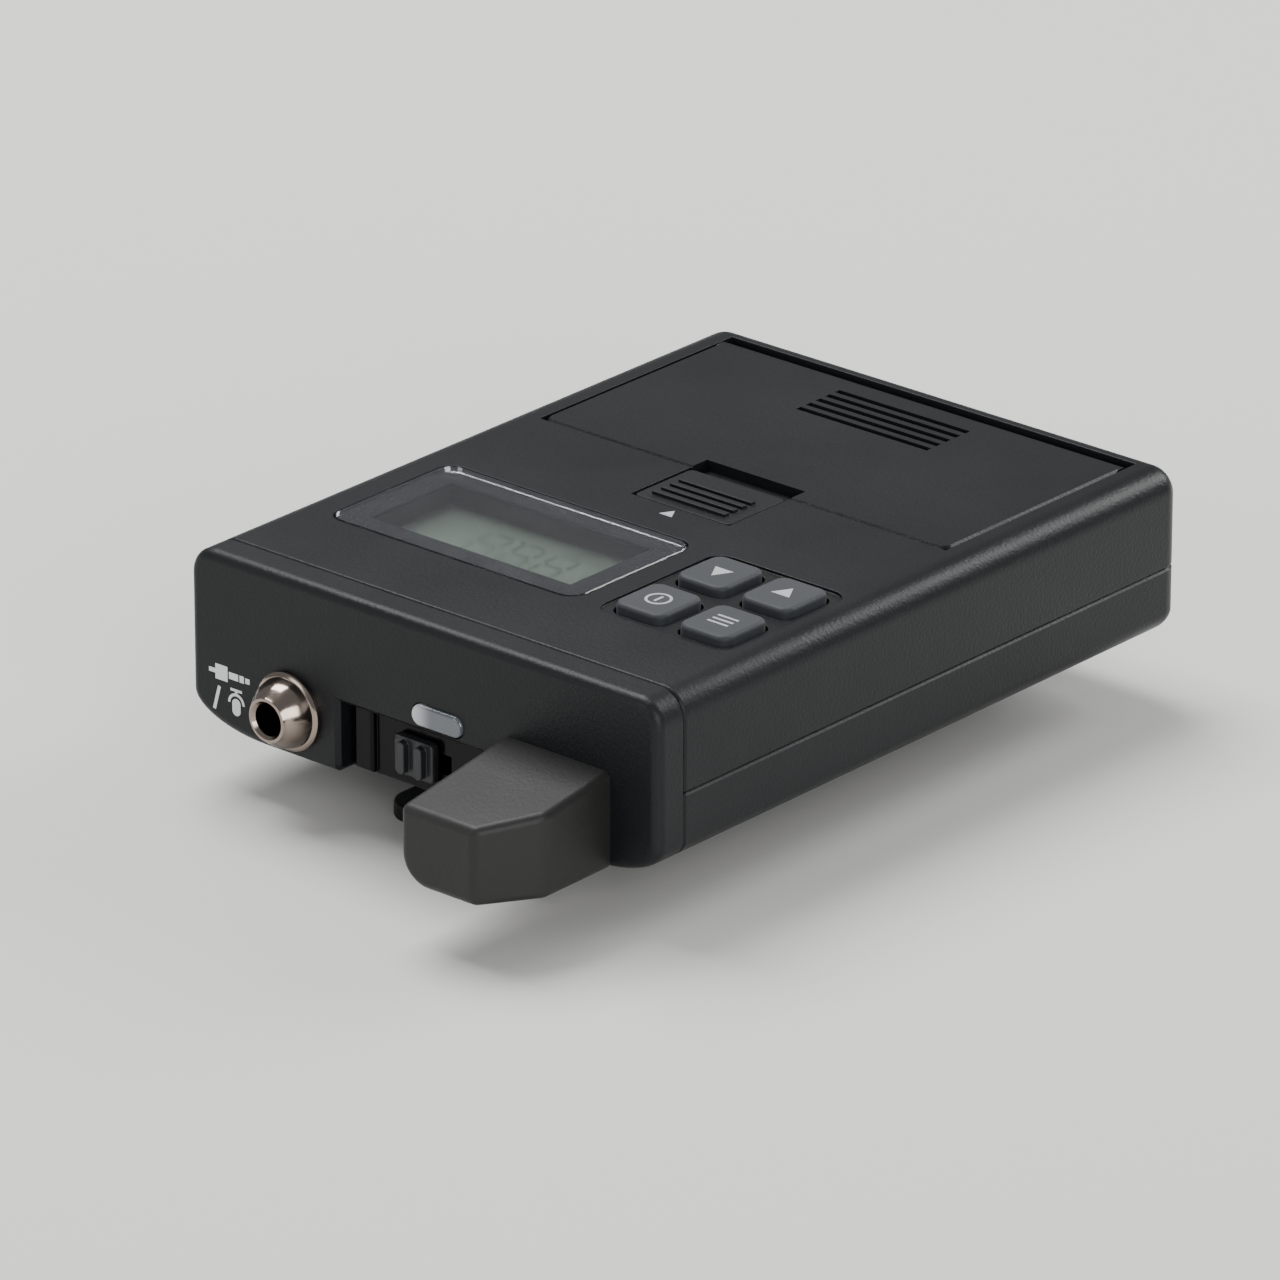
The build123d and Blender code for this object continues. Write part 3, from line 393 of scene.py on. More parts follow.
def solder_mask(name, code, track_code):
    """Green lacquer over a faint pattern of tracks."""
    material, tree, shader = start_material(name, IOR=1.52, Roughness=0.3, Coat_Weight=0.3)
    place = add_node(tree, "TexCoord").outputs["Object"]
    tracks = add_node(tree, "TexBrick", {"Vector": place, "Scale": per_mm(1.2) * ROW,
                                         "Color1": linear(code), "Color2": linear(code),
                                         "Mortar": linear(track_code), "Mortar Size": 0.05,
                                         "Brick Width": 1.7, "Row Height": ROW})
    tree.links.new(tracks.outputs["Color"], shader.inputs["Base Color"])
    bump = add_node(tree, "Bump", {"Height": tracks.outputs["Fac"], "Strength": 0.3,
                                   "Distance": mm(0.03)})
    tree.links.new(bump.outputs["Normal"], shader.inputs["Normal"])
    return material


def cell_jacket(name, body_code, band_code, band_from):
    """Printed film on a cell that lies along X: a plain body and a band at one end."""
    material, tree, shader = start_material(name, Metallic=0.35, Coat_Weight=0.5)
    place = add_node(tree, "TexCoord").outputs["Object"]
    along = add_node(tree, "SeparateXYZ", {"Vector": place})
    compare = "GREATER_THAN" if band_from > 0 else "LESS_THAN"
    band = add_node(tree, "Math", {0: along.outputs["X"], 1: band_from}, operation=compare)
    colour = add_node(tree, "Mix", {0: band.outputs["Value"], 6: linear(body_code),
                                    7: linear(band_code)}, data_type="RGBA")
    tree.links.new(colour.outputs[2], shader.inputs["Base Color"])
    rub = add_node(tree, "TexNoise", {"Vector": place, "Scale": per_mm(4), "Detail": 4.0})
    dull = add_node(tree, "MapRange", {"Value": rub.outputs["Fac"], "To Min": 0.18,
                                       "To Max": 0.36})
    tree.links.new(dull.outputs["Result"], shader.inputs["Roughness"])
    return material


board_mask = solder_mask("solder mask on glass epoxy", "#0f4a2a", "#23693f")
chip_epoxy = satin_abs("moulded epoxy, black", "#26272a", "#1d1e20", rough=0.6, grain_mm=0.2,
                       depth_mm=0.008)
print("board materials made")

# %% [markdown]
# ## Finishes for the parts that keep their shape
#
# Most working parts are already the right shape and only need a finish. The list goes from each
# part to its material, and the part's own material slot takes it.

# %% Give each part its finish
FINISHES = {
    casing_abs: ["rear_shell", "front_shell", "end_cap", "battery_door"],
    clip_nylon: ["belt_clip", "clip_bracket", "door_latch"],
    inner_plastic: ["battery_tray", "jack_housing", "display_holder", "switch_lever"],
    chip_epoxy: ["board_chips", "board_link", "key_switches"],
    antenna_rubber: ["antenna_boot"],
    key_rubber: ["power_button", "menu_button", "up_button", "down_button"],
    foam_pad: ["door_pad"],
    gloss_black: ["switch_bezel"],
    acetal: ["mute_slider"],
    nickel: ["jack_bushing", "jack_nut"],
    steel: ["contact_plates", "contact_springs", "door_hinge_pin", "clip_pin", "clip_spring",
            "shield_can", "switch_body", "board_screws"],
    black_steel: ["case_screws", "bracket_screws"],
    gold: ["jack_contacts", "antenna_spring", "charge_contacts"],
    copper: ["antenna_coil", "antenna_ferrule"],
    can_sleeve: ["board_capacitors"],
    frosted: ["light_pipe", "status_led"],
    smoked: ["display_lens"],
    lcd_glass: ["display_panel"],
    plate_film: ["rating_plate"],
    board_mask: ["main_board", "key_board"],
}
for material, members in FINISHES.items():
    for node in members:
        nodes[node].data.materials.clear()
        nodes[node].data.materials.append(material)
print(sum(len(members) for members in FINISHES.values()), "parts finished")

# %% [markdown]
# ## Helpers for new pieces
#
# A new piece is shaped as a bmesh and then becomes an object at the origin that rides on the
# body it belongs to. Smooth shading with sharp edges above 35 degrees suits moulded and turned
# pieces alike.

# %% Piece helpers
SHARP_ANGLE = radians(35)


def finish_piece(name, bm, material, body, stands_for=()):
    """Makes the bmesh an object with smooth shading, a finish and a body to ride on.

    Print has no slot of its own in the record, so a printed mark goes without one.
    """
    mesh = bpy.data.meshes.new(name)
    bm.to_mesh(mesh)
    bm.free()
    mesh.shade_smooth()
    mesh.set_sharp_from_angle(angle=SHARP_ANGLE)
    mesh.materials.append(material)
    piece = bpy.data.objects.new(name, mesh)
    bpy.context.scene.collection.objects.link(piece)
    piece.modifiers.new("flat faces stay flat", "WEIGHTED_NORMAL").keep_sharp = True
    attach(piece, body)
    if stands_for:
        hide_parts(*stands_for)
    print(name, len(mesh.polygons), "faces")
    return piece


def bevel_edges(bm, edges, width, segments):
    """Rounds edges, with the settings that the editor uses."""
    bmesh.ops.bevel(bm, geom=edges, offset=width, offset_type="OFFSET", segments=segments,
                    profile=0.5, affect="EDGES", material=-1, clamp_overlap=True)


def sharp_edges(bm, angle=radians(30)):
    """Edges where two faces meet at more than an angle."""
    return [edge for edge in bm.edges if edge.is_manifold and edge.calc_face_angle() > angle]


def lathe(points, centre, axis, steps=96):
    """Spins (radius, height) points about an axis. A profile off the axis closes on itself."""
    bm = bmesh.new()
    side = axis.orthogonal().normalized()
    chain = [bm.verts.new(centre + side * radius + axis * height) for radius, height in points]
    pairs = list(zip(chain, chain[1:]))
    if points[0][0] > 0:
        pairs.append((chain[-1], chain[0]))
    edges = [bm.edges.new(pair) for pair in pairs]
    bmesh.ops.spin(bm, geom=chain + edges, cent=centre, axis=axis, angle=2 * pi, steps=steps,
                   use_merge=True, use_duplicate=False)
    bmesh.ops.remove_doubles(bm, verts=bm.verts, dist=mm(0.001))
    bmesh.ops.recalc_face_normals(bm, faces=bm.faces)
    return bm


# %% [markdown]
# ## Input socket
#
# A lathe cuts the socket's bushing from brass bar: a thin flange that clamps on the panel, a
# domed nose and a mouth with a broken edge. Spinning a profile about the axis is the same
# motion. The dome's curve is a formula, and the small corner radii are bevels.

# %% Turn the socket
FLANGE_R, FLANGE_THICK = mm(4.3), mm(0.8)
DOME_R, LIP_R, BORE_R, SHANK_R = mm(3.85), mm(2.5), mm(1.8), mm(3.0)
BELLY = 0.35  # how far the nose bulges from a plain cone, as a share of its narrowing
nose = jack_low.y
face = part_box("end_cap")[0].y
reach, tail = face - nose, jack_high.y - face
DOME_STEPS = 10
profile = [(BORE_R, -tail), (SHANK_R, -tail), (SHANK_R, mm(-0.001)), (FLANGE_R, mm(-0.001)),
           (FLANGE_R, FLANGE_THICK - mm(0.25)), (FLANGE_R - mm(0.25), FLANGE_THICK)]
NOSE_FROM, NOSE_TO = FLANGE_THICK + mm(0.05), reach - mm(0.2)
for step in range(DOME_STEPS + 1):
    share = step / DOME_STEPS
    narrowing = share - BELLY * sin(pi * share) / 2
    profile.append((DOME_R + (LIP_R - DOME_R) * narrowing,
                    NOSE_FROM + (NOSE_TO - NOSE_FROM) * share))
profile += [(LIP_R - mm(0.08), reach - mm(0.06)), (LIP_R - mm(0.25), reach),
            (BORE_R + mm(0.3), reach), (BORE_R, reach - mm(0.35))]
bushing = lathe(profile, Vector((JACK_X, face, JACK_Z)), Vector((0, -1, 0)), steps=128)
finish_piece("jack_bushing_turned", bushing, nickel, "housing", ["jack_bushing"])

# %% [markdown]
# ## Stub antenna
#
# The rubber stub is a five-sided block in plan with a front corner cut back, a top that falls
# towards the tip and one generously rounded long edge. It starts as one face, is extruded
# upwards, has its tip lowered, and is then bevelled: first the big round, then all other edges
# except those against the end cap.

# %% Mould the antenna
boot_low, boot_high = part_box("antenna_boot")
TIP_DROP, CORNER_BACK = mm(2.2), mm(6.2)  # fall of the top, and depth of the cut corner
TIP_FROM, TIP_TO = mm(0.4), mm(10.4)  # the flat tip, from the side next to the switch
ROOT_TAPER, ROOT_BAND = mm(0.1), mm(0.05)
ROUND_R, EDGE_R = mm(3.4), mm(0.9)
bm = bmesh.new()
plan = [(boot_low.x, face), (boot_low.x + TIP_FROM, boot_low.y),
        (boot_low.x + TIP_TO, boot_low.y), (boot_high.x, boot_low.y + CORNER_BACK),
        (boot_high.x - ROOT_TAPER, face)]
floor_face = bm.faces.new([bm.verts.new((x, y, boot_low.z)) for x, y in plan])
risen = bmesh.ops.extrude_face_region(bm, geom=[floor_face])
top = [item for item in risen["geom"] if isinstance(item, bmesh.types.BMVert)]
bmesh.ops.translate(bm, verts=top, vec=(0, 0, boot_high.z - boot_low.z))
for vert in top:
    vert.co.z -= TIP_DROP * (face - vert.co.y) / (face - boot_low.y)
bmesh.ops.recalc_face_normals(bm, faces=bm.faces)


def at_root(edge):
    """True for an edge that lies against the end cap."""
    return all(abs(vert.co.y - face) < ROOT_BAND for vert in edge.verts)


big_round = [edge for edge in bm.edges if not at_root(edge)
             and all(vert.co.z < boot_low.z + mm(0.1) and vert.co.x < boot_low.x + mm(1)
                     for vert in edge.verts)]
bevel_edges(bm, big_round, ROUND_R, 10)
bevel_edges(bm, [edge for edge in sharp_edges(bm) if not at_root(edge)], EDGE_R, 5)
finish_piece("antenna_boot_moulded", bm, antenna_rubber, "housing",
             ["antenna_boot"])

# %% [markdown]
# ## Soften the moulded and machined edges
#
# No moulded part has a perfectly sharp edge, and the thin highlight along each edge is much of
# what makes plastic look real. The working parts come in as loose triangles, so a copy is
# merged, its flat faces are joined up, and a Bevel modifier rounds what is still sharp. The copy
# stands for the part it came from, and takes its finish. Only parts that round cleanly are
# rounded: the door and tray broke through their own surface, the rear shell was left with
# slivers at two screw holes, and the end cap touched the slider, so those keep their own edges.

# %% Rounded copies of working parts
# bevel width of each part's edges, in millimetres
SOFT_WIDTHS = {"front_shell": 0.12, "door_latch": 0.12, "belt_clip": 0.3,
               "clip_bracket": 0.2, "mute_slider": 0.12, "switch_bezel": 0.1,
               "shield_can": 0.15, "board_chips": 0.08}


def soften(node, width):
    """A copy of a working part whose sharp edges are rounded by width millimetres."""
    bm = bmesh.new()
    bm.from_mesh(nodes[node].data)
    bmesh.ops.remove_doubles(bm, verts=bm.verts, dist=mm(0.002))
    bmesh.ops.dissolve_limit(bm, angle_limit=radians(0.5), verts=bm.verts, edges=bm.edges)
    mesh = bpy.data.meshes.new(node + "_softened")
    bm.to_mesh(mesh)
    bm.free()
    if "custom_normal" in mesh.attributes:
        mesh.attributes.remove(mesh.attributes["custom_normal"])
    mesh.shade_smooth()
    mesh.materials.clear()
    mesh.materials.append(nodes[node].data.materials[0])
    piece = bpy.data.objects.new(mesh.name, mesh)
    bpy.context.scene.collection.objects.link(piece)
    rounding = piece.modifiers.new("mould radius", "BEVEL")
    rounding.width, rounding.segments = mm(width), 2
    rounding.limit_method, rounding.angle_limit = "ANGLE", SHARP_ANGLE
    rounding.use_clamp_overlap, rounding.harden_normals = False, True
    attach(piece, body_of[node])
    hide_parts(node)


for node, width in SOFT_WIDTHS.items():
    soften(node, width)
print(len(SOFT_WIDTHS), "parts softened")

# %% [markdown]
# ## Drawing printed and raised marks
#
# Marks are drawn flat, in millimetres, as thin slabs, discs and rings on the XY plane, and then
# laid on a face by saying where its origin is and which ways are right and up for a reader. The
# marks are all signs, never words: the pack has no lettering.

# %% Mark helpers
INK = 0.03  # thickness of a printed layer, in millimetres
DISC_SIDES = 40  # sides of a disc, and steps along a ring


def slab(bm, x0, x1, y0, y1, thick=INK, turn=0.0):
    """A bar on the drawing plane, turned about its own middle."""
    place = Matrix.Translation(((x0 + x1) / 2, (y0 + y1) / 2, thick / 2))
    size = Matrix.Diagonal((x1 - x0, y1 - y0, thick, 1))
    bmesh.ops.create_cube(bm, size=1, matrix=place @ Matrix.Rotation(turn, 4, "Z") @ size)


def disc(bm, x, y, radius, thick=INK, sides=DISC_SIDES, turn=0.0):
    """A disc, or with three sides a triangle whose first corner points along turn."""
    place = Matrix.Translation((x, y, thick / 2)) @ Matrix.Rotation(turn - pi / 2, 4, "Z")
    bmesh.ops.create_cone(bm, cap_ends=True, segments=sides, radius1=radius, radius2=radius,
                          depth=thick, matrix=place)


def pill(bm, x, y0, y1, radius, thick=INK):
    """An upright bar with round ends: a disc whose upper half is moved up."""
    disc(bm, x, y0 + radius, radius, thick)
    for vert in bm.verts[-2 * DISC_SIDES:]:  # the new disc, top and bottom
        if vert.co.y > y0 + radius + 0.001:
            vert.co.y += y1 - y0 - 2 * radius


def plus(bm, x, y, arm, line, thick=INK):
    """Two crossing bars, in three pieces that meet edge to edge."""
    slab(bm, x - arm, x + arm, y - line / 2, y + line / 2, thick)
    for way in (-1, 1):
        slab(bm, x - line / 2, x + line / 2, *sorted((y + way * line / 2, y + way * arm)), thick)


def ring(bm, x, y, inner, outer, thick=INK, start=0.0, sweep=2 * pi):
    """A flat ring, or an arc of one with closed ends."""
    spoke = Vector((cos(start), sin(start), 0))
    up = Vector((0, 0, thick))
    centre = Vector((x, y, 0))
    corners = [centre + spoke * inner, centre + spoke * outer,
               centre + spoke * outer + up, centre + spoke * inner + up]
    verts = [bm.verts.new(corner) for corner in corners]
    edges = [bm.edges.new((verts[i - 1], verts[i])) for i in range(4)]
    whole = sweep >= 2 * pi
    bmesh.ops.spin(bm, geom=verts + edges, cent=centre, axis=(0, 0, 1), angle=sweep,
                   steps=DISC_SIDES, use_merge=whole, use_duplicate=False)
    if not whole:
        bmesh.ops.holes_fill(bm, edges=[edge for edge in bm.edges if edge.is_boundary], sides=4)


def frame_of(bm, x0, x1, y0, y1, line, thick=INK):
    """A rectangle drawn as four bars."""
    slab(bm, x0, x1, y0, y0 + line, thick)
    slab(bm, x0, x1, y1 - line, y1, thick)
    slab(bm, x0, x0 + line, y0 + line, y1 - line, thick)
    slab(bm, x1 - line, x1, y0 + line, y1 - line, thick)


def lay(bm, origin, right, up):
    """Moves marks from the drawing plane, in millimetres, to a face, in metres."""
    right, up = Vector(right), Vector(up)
    turn = Matrix((right, up, right.cross(up))).transposed().to_4x4()
    bmesh.ops.transform(bm, verts=bm.verts,
                        matrix=Matrix.Translation(origin) @ turn @ Matrix.Scale(mm(1), 4))
    bmesh.ops.recalc_face_normals(bm, faces=bm.faces)


READ_X, READ_Y = (-1, 0, 0), (0, -1, 0)  # right and up for a reader of the front
DOWN = (0, 0, -1)  # up for a reader of the end cap while the pack hangs from a belt
SUNK = mm(0.005)  # how far print reaches into the face below it
print("mark helpers ready")

# %% [markdown]
# ## Input signs beside the socket
#
# Two rows of white print tell the user what plugs in: a microphone with a slash after it, and a
# line-level plug. They stand upside down while the pack lies on its clip, because they are read
# with the pack hanging from a belt. Pad printing lays down a few hundredths of a millimetre of
# ink, so each sign is a slab that is barely proud of the end cap.

# %% Print the input signs
SIGN_X, LOWER_ROW, UPPER_ROW = -23.6, 10.05, 13.0  # right-hand start and row centres, in mm
bm = bmesh.new()
pill(bm, 2.0, -0.55, 1.35, 0.58)
ring(bm, 2.0, 0.02, 0.86, 1.16, start=pi, sweep=pi)
slab(bm, 1.83, 2.17, -1.33, -1.12)
slab(bm, 1.2, 2.8, -1.62, -1.34)
slab(bm, 4.55, 4.95, -1.4, 1.4, turn=-0.28)
lay(bm, (mm(SIGN_X), face, mm(LOWER_ROW)), READ_X, DOWN)
finish_piece("microphone_sign", bm, white_ink, "housing")

bm = bmesh.new()
slab(bm, 0.1, 0.7, -0.3, 0.3)
slab(bm, 0.9, 1.5, -0.38, 0.38)
slab(bm, 1.7, 3.0, -0.38, 0.38)
slab(bm, 3.2, 4.9, -0.85, 0.85)
slab(bm, 4.9, 5.8, -0.25, 0.25)
lay(bm, (mm(SIGN_X), face, mm(UPPER_ROW)), READ_X, DOWN)
finish_piece("plug_sign", bm, white_ink, "housing")

# %% [markdown]
# ## Key signs
#
# Each key carries a printed sign: a ring with a bar for power, three bars for the menu, and a
# triangle for each direction. A sign travels with its key, so it rides on the key's body.

# %% Print the key signs
def key_sign(node, body, draw):
    """Prints one sign on the top of one key."""
    low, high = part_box(node)
    centre = (low + high) / 2
    bm = bmesh.new()
    draw(bm)
    lay(bm, (centre.x, centre.y, high.z - SUNK), READ_X, READ_Y)
    finish_piece(body + "_sign", bm, grey_ink, body)


def draw_power(bm):
    ring(bm, 0, 0, 1.15, 1.45)
    slab(bm, -0.15, 0.15, -0.7, 0.7)


def draw_menu(bm):
    for row in (-0.85, 0.0, 0.85):
        slab(bm, -1.35, 1.35, row - 0.15, row + 0.15)


key_sign("power_button", "power_key", draw_power)
key_sign("menu_button", "menu_key", draw_menu)
for button, key, turn in (("up_button", "up_key", pi / 2), ("down_button", "down_key", -pi / 2)):
    key_sign(button, key, lambda bm, turn=turn: disc(bm, 0, 0, 1.4, sides=3, turn=turn))

# %% [markdown]
# ## Display
#
# Under the clear window a black border is screen printed, and below that lies the
# liquid-crystal glass. With the power off its segments still show faintly, as darker shapes in
# grey green glass: a battery, a row of level bars and three number places.

# %% Border and segments
lens_low, lens_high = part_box("display_lens")
panel_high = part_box("display_panel")[1]
lens_middle = (lens_low + lens_high) / 2
HALF_LONG, HALF_WIDE, BORDER = 16.8, 9.3, 3.0
bm = bmesh.new()
frame_of(bm, -HALF_LONG, HALF_LONG, -HALF_WIDE, HALF_WIDE, BORDER)
lay(bm, (lens_middle.x, lens_middle.y, lens_low.z - mm(0.05)), READ_X, READ_Y)
finish_piece("display_border", bm, black_mask, "housing")


def number_place(bm, x, y, wide, high, bar):
    """The seven bars of one number."""
    gap = bar * 0.6
    for row in (0, high / 2, high):
        slab(bm, x + gap, x + wide - gap, y + row - bar / 2, y + row + bar / 2)
    for column in (x, x + wide):
        for row in (0, high / 2):
            slab(bm, column - bar / 2, column + bar / 2, y + row + gap, y + row + high / 2 - gap)


NUMBER_X, NUMBER_Y, NUMBER_STEP = -6.2, -4.2, 4.6  # lower left of the first number, and pitch
LEVEL_X, LEVEL_Y, LEVEL_STEP = -11.0, 3.4, 2.0
GAUGE_X, GAUGE_Y, GAUGE_STEP = 8.2, 3.2, 1.2  # the battery gauge and its three bars
bm = bmesh.new()
for place in range(3):
    number_place(bm, NUMBER_X + NUMBER_STEP * place, NUMBER_Y, 3.0, 5.6, 0.55)
disc(bm, 2.0, NUMBER_Y, 0.35)
for step in range(9):  # level bars, each taller than the last
    start = LEVEL_X + LEVEL_STEP * step
    slab(bm, start, start + 1.4, LEVEL_Y, LEVEL_Y + 0.4 + 0.12 * step)
frame_of(bm, GAUGE_X, GAUGE_X + 4.4, GAUGE_Y, GAUGE_Y + 2.0, 0.25)
slab(bm, GAUGE_X + 4.4, GAUGE_X + 4.8, GAUGE_Y + 0.6, GAUGE_Y + 1.4)
for bar in range(3):
    start = GAUGE_X + 0.6 + GAUGE_STEP * bar
    slab(bm, start, start + 0.8, GAUGE_Y + 0.5, GAUGE_Y + 1.5)
ring(bm, -10.4, -1.0, 1.1, 1.4)  # antenna sign: a ring on a mast
slab(bm, -10.55, -10.25, NUMBER_Y, -2.1)
lay(bm, (lens_middle.x, lens_middle.y, panel_high.z), READ_X, READ_Y)
finish_piece("display_segments", bm, lcd_ghost, "housing")

# %% [markdown]
# ## Latch arrow
#
# A small triangle on the casing shows which way the latch slides to lock the door.

# %% Print the arrow
latch_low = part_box("door_latch")[0]
casing_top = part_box("front_shell")[1].z
bm = bmesh.new()
disc(bm, 0, 0, 1.0, sides=3, turn=-pi / 2)
lay(bm, (0, latch_low.y - mm(2.0), casing_top), READ_X, READ_Y)
finish_piece("latch_arrow", bm, grey_ink, "housing")

# %% [markdown]
# ## Battery signs inside the door
#
# The inside of the door is moulded with the outlines of the two cells and their poles, which
# stand 0.2 mm proud in the same plastic. They show when the door is open.

# %% Mould the battery signs
door_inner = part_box("door_pad")[1].z
CELL_HALF, CELL_WIDE, RAISED = 11.0, 5.2, 0.2
CLEAR_FROM, CLEAR_TO = 25.0, 38.6  # Y of the clear stretch of the door's inside, in mm
POLE_AT = 8  # place of each pole sign along the outline, from its middle


def pole_signs(bm, y, plus_side, thick):
    """A plus at one end of a cell's outline and a minus at the other."""
    plus(bm, plus_side * POLE_AT, y, 1.3, 0.5, thick)
    minus_at = -plus_side * POLE_AT
    slab(bm, minus_at - 1.3, minus_at + 1.3, y - 0.25, y + 0.25, thick)


bm = bmesh.new()
for cell, plus_side in (("battery_cell_near", 1), ("battery_cell_far", -1)):
    low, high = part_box(cell)
    y = min(max((low + high).y / 2 / mm(1), CLEAR_FROM), CLEAR_TO)
    frame_of(bm, -CELL_HALF, CELL_HALF, y - CELL_WIDE / 2, y + CELL_WIDE / 2, 0.5, RAISED)
    slab(bm, *sorted((plus_side * CELL_HALF, plus_side * (CELL_HALF + 0.9))), y - 1.0, y + 1.0,
         RAISED)
    pole_signs(bm, y, plus_side, RAISED)
lay(bm, (0, 0, door_inner + mm(0.02)), (1, 0, 0), (0, -1, 0))
for vert in bm.verts:  # laying turned +Y to -Y, so it is mirrored back
    vert.co.y = -vert.co.y
bmesh.ops.recalc_face_normals(bm, faces=bm.faces)
finish_piece("door_battery_signs", bm, casing_abs, "battery_door")

# %% [markdown]
# ## Cells
#
# A dry cell is a steel can with a crimped rim and a pressed nub, inside a printed film that is
# shrunk over its shoulders. Both are round about one axis, so both are spun. The printed band
# marks the positive end, and the signs on the film are drawn flat, cut finely and then wrapped
# round the cell by a formula.

# %% Turn the cells
CELL_R, FILM, BAND_AT = mm(7.25), mm(0.12), mm(16)
SIGN_AT, SIGN_ARM, SIGN_LINE = 12, 2.0, 1.0  # place and size of a pole sign, in mm
slate_film = {side: cell_jacket("shrink film, slate with a pale band, plus at " + way, "#46525c",
                                "#a9b0b6", side * BAND_AT)
              for side, way in ((1, "right"), (-1, "left"))}


def turn_cell(name, plus_side):
    """Makes the can, the film and the film's pole signs for one cell along X."""
    low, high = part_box(name)
    middle_y, middle_z = ((low + high) / 2).y, ((low + high) / 2).z
    axis = Vector((plus_side, 0, 0))
    start = Vector((low.x if plus_side > 0 else high.x, middle_y, middle_z))
    long, can_r = high.x - low.x, CELL_R - FILM
    can = [(0, 0), (mm(5.2), 0), (mm(5.5), mm(0.3)), (mm(6.4), mm(0.3)), (can_r, mm(0.9)),
           (can_r, long - mm(2.2)), (mm(6.5), long - mm(1.6)), (mm(3.3), long - mm(1.4)),
           (mm(2.75), long - mm(1.1)), (mm(2.7), long - mm(0.3)), (mm(2.4), long), (0, long)]
    film = [(mm(5.9), mm(0.14)), (mm(6.8), mm(0.2)), (CELL_R, mm(0.75)),
            (CELL_R, long - mm(2.1)), (mm(6.8), long - mm(1.55)), (mm(6.0), long - mm(1.35)),
            (mm(6.0), long - mm(1.5)), (mm(6.7), long - mm(1.7)), (can_r, long - mm(2.2)),
            (can_r, mm(0.85)), (mm(6.7), mm(0.32)), (mm(5.9), mm(0.26))]
    finish_piece(name + "_can", lathe(can, start, axis, 64), can_sleeve, "housing",
                 [name])
    finish_piece(name + "_film", lathe(film, start, axis, 64), slate_film[plus_side],
                 "housing")
    bm = bmesh.new()
    plus(bm, plus_side * SIGN_AT, 0, SIGN_ARM, SIGN_LINE)
    minus_at = -plus_side * SIGN_AT
    slab(bm, minus_at - SIGN_ARM, minus_at + SIGN_ARM, -SIGN_LINE / 2, SIGN_LINE / 2)
    bmesh.ops.subdivide_edges(bm, edges=bm.edges, cuts=5, use_grid_fill=True)
    for vert in bm.verts:
        radius, turn = CELL_R + mm(vert.co.z), mm(vert.co.y) / CELL_R
        vert.co = (mm(vert.co.x), middle_y + radius * sin(turn), middle_z + radius * cos(turn))
    bmesh.ops.recalc_face_normals(bm, faces=bm.faces)
    finish_piece(name + "_signs", bm, white_ink, "housing")


turn_cell("battery_cell_near", 1)
turn_cell("battery_cell_far", -1)

# %% [markdown]
# ## Screws
#
# The casing and the clip bracket are held by cross-recess screws. One blank is turned with a
# domed head, two crossed slots are cut out of it with a Boolean modifier whose result is kept,
# and the finished screw is copied to every place it is used.

# %% Cut the screws
def carve(blank, cutter):
    """Cuts one closed shape out of another and returns what is left."""
    solids = []
    for shape in (blank, cutter):
        mesh = bpy.data.meshes.new("solid")
        shape.to_mesh(mesh)
        shape.free()
        solids.append(bpy.data.objects.new("solid", mesh))
        bpy.context.scene.collection.objects.link(solids[-1])
    cut = solids[0].modifiers.new("cut", "BOOLEAN")
    cut.object, cut.solver, cut.use_self = solids[1], "EXACT", True
    ready = solids[0].evaluated_get(bpy.context.evaluated_depsgraph_get())
    left = bmesh.new()
    left.from_mesh(ready.to_mesh())
    for solid in solids:
        bpy.data.objects.remove(solid)
    return left


def screw_blank(head_r, head_high, shank_r, shank_long):
    """One screw whose head points down from the origin, with a cross cut into it."""
    dome = [(0, -shank_long), (shank_r, -shank_long), (shank_r, 0), (head_r, 0),
            (head_r, head_high * 0.45), (head_r * 0.93, head_high * 0.8),
            (head_r * 0.7, head_high), (0, head_high)]
    blank = lathe([(mm(r), mm(h)) for r, h in dome], Vector(), Vector((0, 0, -1)), 48)
    cutter = bmesh.new()
    arm, slot_wide, deep = head_r * 0.68, head_r * 0.26, head_high * 0.6
    for turn in (0, pi / 2):
        size = Matrix.Diagonal((mm(2 * arm), mm(slot_wide), mm(2 * deep), 1))
        bmesh.ops.create_cube(cutter, size=1, matrix=Matrix.Translation((0, 0, -mm(head_high)))
                              @ Matrix.Rotation(turn, 4, "Z") @ size)
    return carve(blank, cutter)


FIRST_STOP, STOP_STEP = 0.5, 0.9  # radians


def screw_set(name, node, spots, seat_z, blank_sizes):
    """Copies one screw to several places, as one piece that stands for a node."""
    one = screw_blank(*blank_sizes)
    mesh = bpy.data.meshes.new(name + "_one")
    one.to_mesh(mesh)
    one.free()
    bm = bmesh.new()
    for index, (x, y) in enumerate(spots):
        known = len(bm.verts)
        bm.from_mesh(mesh)
        bm.verts.ensure_lookup_table()
        stop = FIRST_STOP + STOP_STEP * index  # each screw comes to rest at its own angle
        place = Matrix.Translation((x, y, seat_z)) @ Matrix.Rotation(stop, 4, "Z")
        bmesh.ops.transform(bm, matrix=place, verts=bm.verts[known:])
    bpy.data.meshes.remove(mesh)
    finish_piece(name, bm, black_steel, body_of[node], [node])


case_low, case_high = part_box("case_screws")
CASE_HEAD_R, BRACKET_HEAD_R = 1.9, 1.5
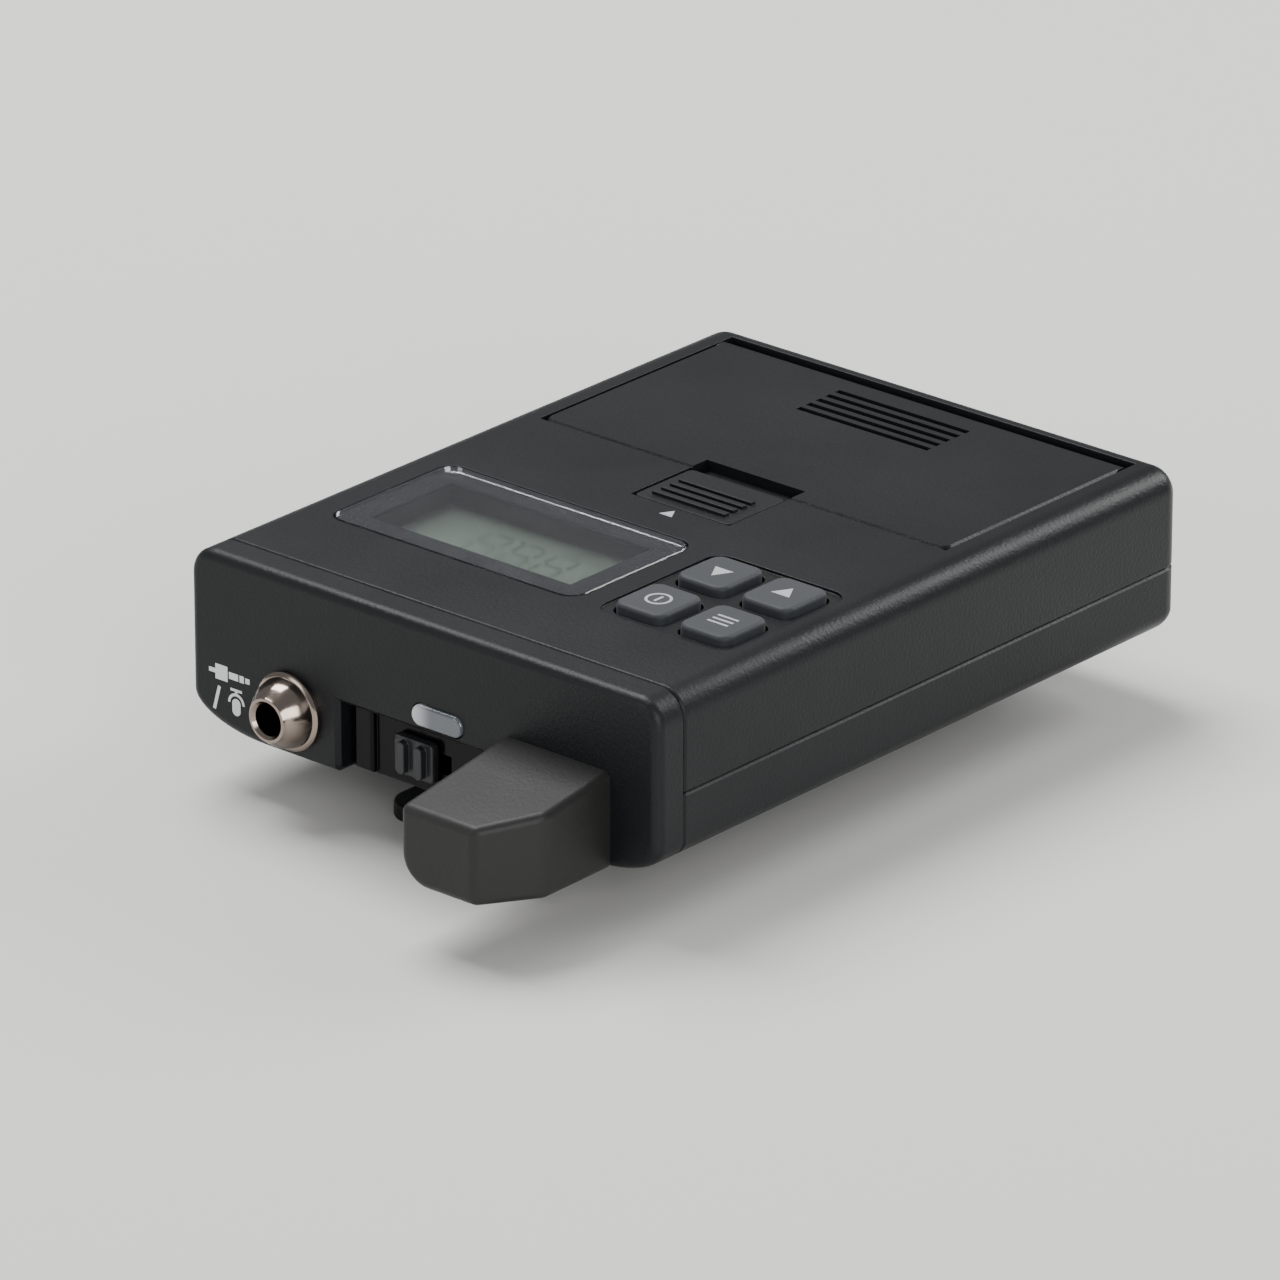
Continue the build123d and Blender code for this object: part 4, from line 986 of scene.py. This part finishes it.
# From the working screws' lowest point up to the underside of the heads drawn here. The case
# screws' own heads are 1.0 high, so 2.2 draws them 1.2 deeper than the working ones.
CASE_LIFT, BRACKET_LIFT = mm(2.2), mm(0.45)
corners = [(x, y) for x in (case_low.x + mm(CASE_HEAD_R), case_high.x - mm(CASE_HEAD_R))
           for y in (case_low.y + mm(CASE_HEAD_R), case_high.y - mm(CASE_HEAD_R))]
screw_set("case_screws_cross", "case_screws", corners, case_low.z + CASE_LIFT,
          (CASE_HEAD_R, 1.0, 0.8, 11.0))
pair_low, pair_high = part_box("bracket_screws")
pair = [(x, (pair_low + pair_high).y / 2)
        for x in (pair_low.x + mm(BRACKET_HEAD_R), pair_high.x - mm(BRACKET_HEAD_R))]
screw_set("bracket_screws_cross", "bracket_screws", pair, pair_low.z + BRACKET_LIFT,
          (BRACKET_HEAD_R, 0.45, 0.7, 2.7))

# %% [markdown]
# ## Rating plate
#
# The film on the back has empty printed boxes where a maker would put its own data, and rules
# between them. It stays blank on purpose.

# %% Print the plate
plate_low, plate_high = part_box("rating_plate")
plate_centre = (plate_low + plate_high) / 2
bm = bmesh.new()
EDGE_X, EDGE_Y, EDGE_LINE = 18.6, 6.8, 0.2
BOX_X, BOX_STEP, BOX_LONG = -17.4, 12.2, 10.4
frame_of(bm, -EDGE_X, EDGE_X, -EDGE_Y, EDGE_Y, EDGE_LINE)
slab(bm, -EDGE_X + EDGE_LINE, EDGE_X - EDGE_LINE, 2.2, 2.35)
for box in range(3):
    start = BOX_X + BOX_STEP * box
    frame_of(bm, start, start + BOX_LONG, -5.4, 0.8, 0.18)
for row in range(3):  # three rules, each shorter than the last
    slab(bm, BOX_X, -1.0 - 3.0 * row, 5.2 - row, 5.45 - row)
lay(bm, (plate_centre.x, plate_centre.y, plate_low.z), (1, 0, 0), (0, -1, 0))
finish_piece("rating_plate_print", bm, black_mask, "housing")

# %% [markdown]
# ## Floor and light
#
# A plain pale table and four soft lights: a strong one overhead to the left that models the
# shapes, one at the right that opens the shadows and lights the antenna's cut corner, a weak one
# that fills the end cap, and one behind that draws the long edges. A pale world fills in what
# they miss and gives the nickel something to mirror.

# %% Floor, lamps and world
floor_mesh = bpy.data.meshes.new("table_top")
bm = bmesh.new()
bmesh.ops.create_grid(bm, x_segments=1, y_segments=1, size=3)
bm.to_mesh(floor_mesh)
bm.free()
table_top = bpy.data.objects.new("table_top", floor_mesh)
bpy.context.scene.collection.objects.link(table_top)
table_paper = start_material("matt paper, pale", Base_Color=linear("#dcdbd8"),
                             Roughness=0.75)[0]
floor_mesh.materials.append(table_paper)


def soft_lamp(name, place, size, power, tint="#ffffff"):
    """A square soft box that points at the pack."""
    lamp = bpy.data.objects.new(name, bpy.data.lights.new(name, "AREA"))
    bpy.context.scene.collection.objects.link(lamp)
    lamp.location = place
    lamp.rotation_euler = (middle - lamp.location).to_track_quat("-Z", "Y").to_euler()
    lamp.data.shape, lamp.data.size = "SQUARE", size
    lamp.data.energy, lamp.data.color = power, linear(tint)[:3]


soft_lamp("overhead_box", (-0.35, 0.10, 0.75), 0.5, 9.0)
soft_lamp("right_fill", (0.72, -0.42, 0.32), 0.5, 4.8)
soft_lamp("end_fill", (-0.25, -0.8, 0.35), 0.4, 1.4)
soft_lamp("back_strip", (0.25, 0.7, 0.45), 0.35, 4.0)
world = bpy.data.worlds.new("studio")
bpy.context.scene.world = world
world.use_nodes = True
backdrop = world.node_tree.nodes["Background"]
backdrop.inputs["Color"].default_value = linear("#e8ebef")
backdrop.inputs["Strength"].default_value = 0.35
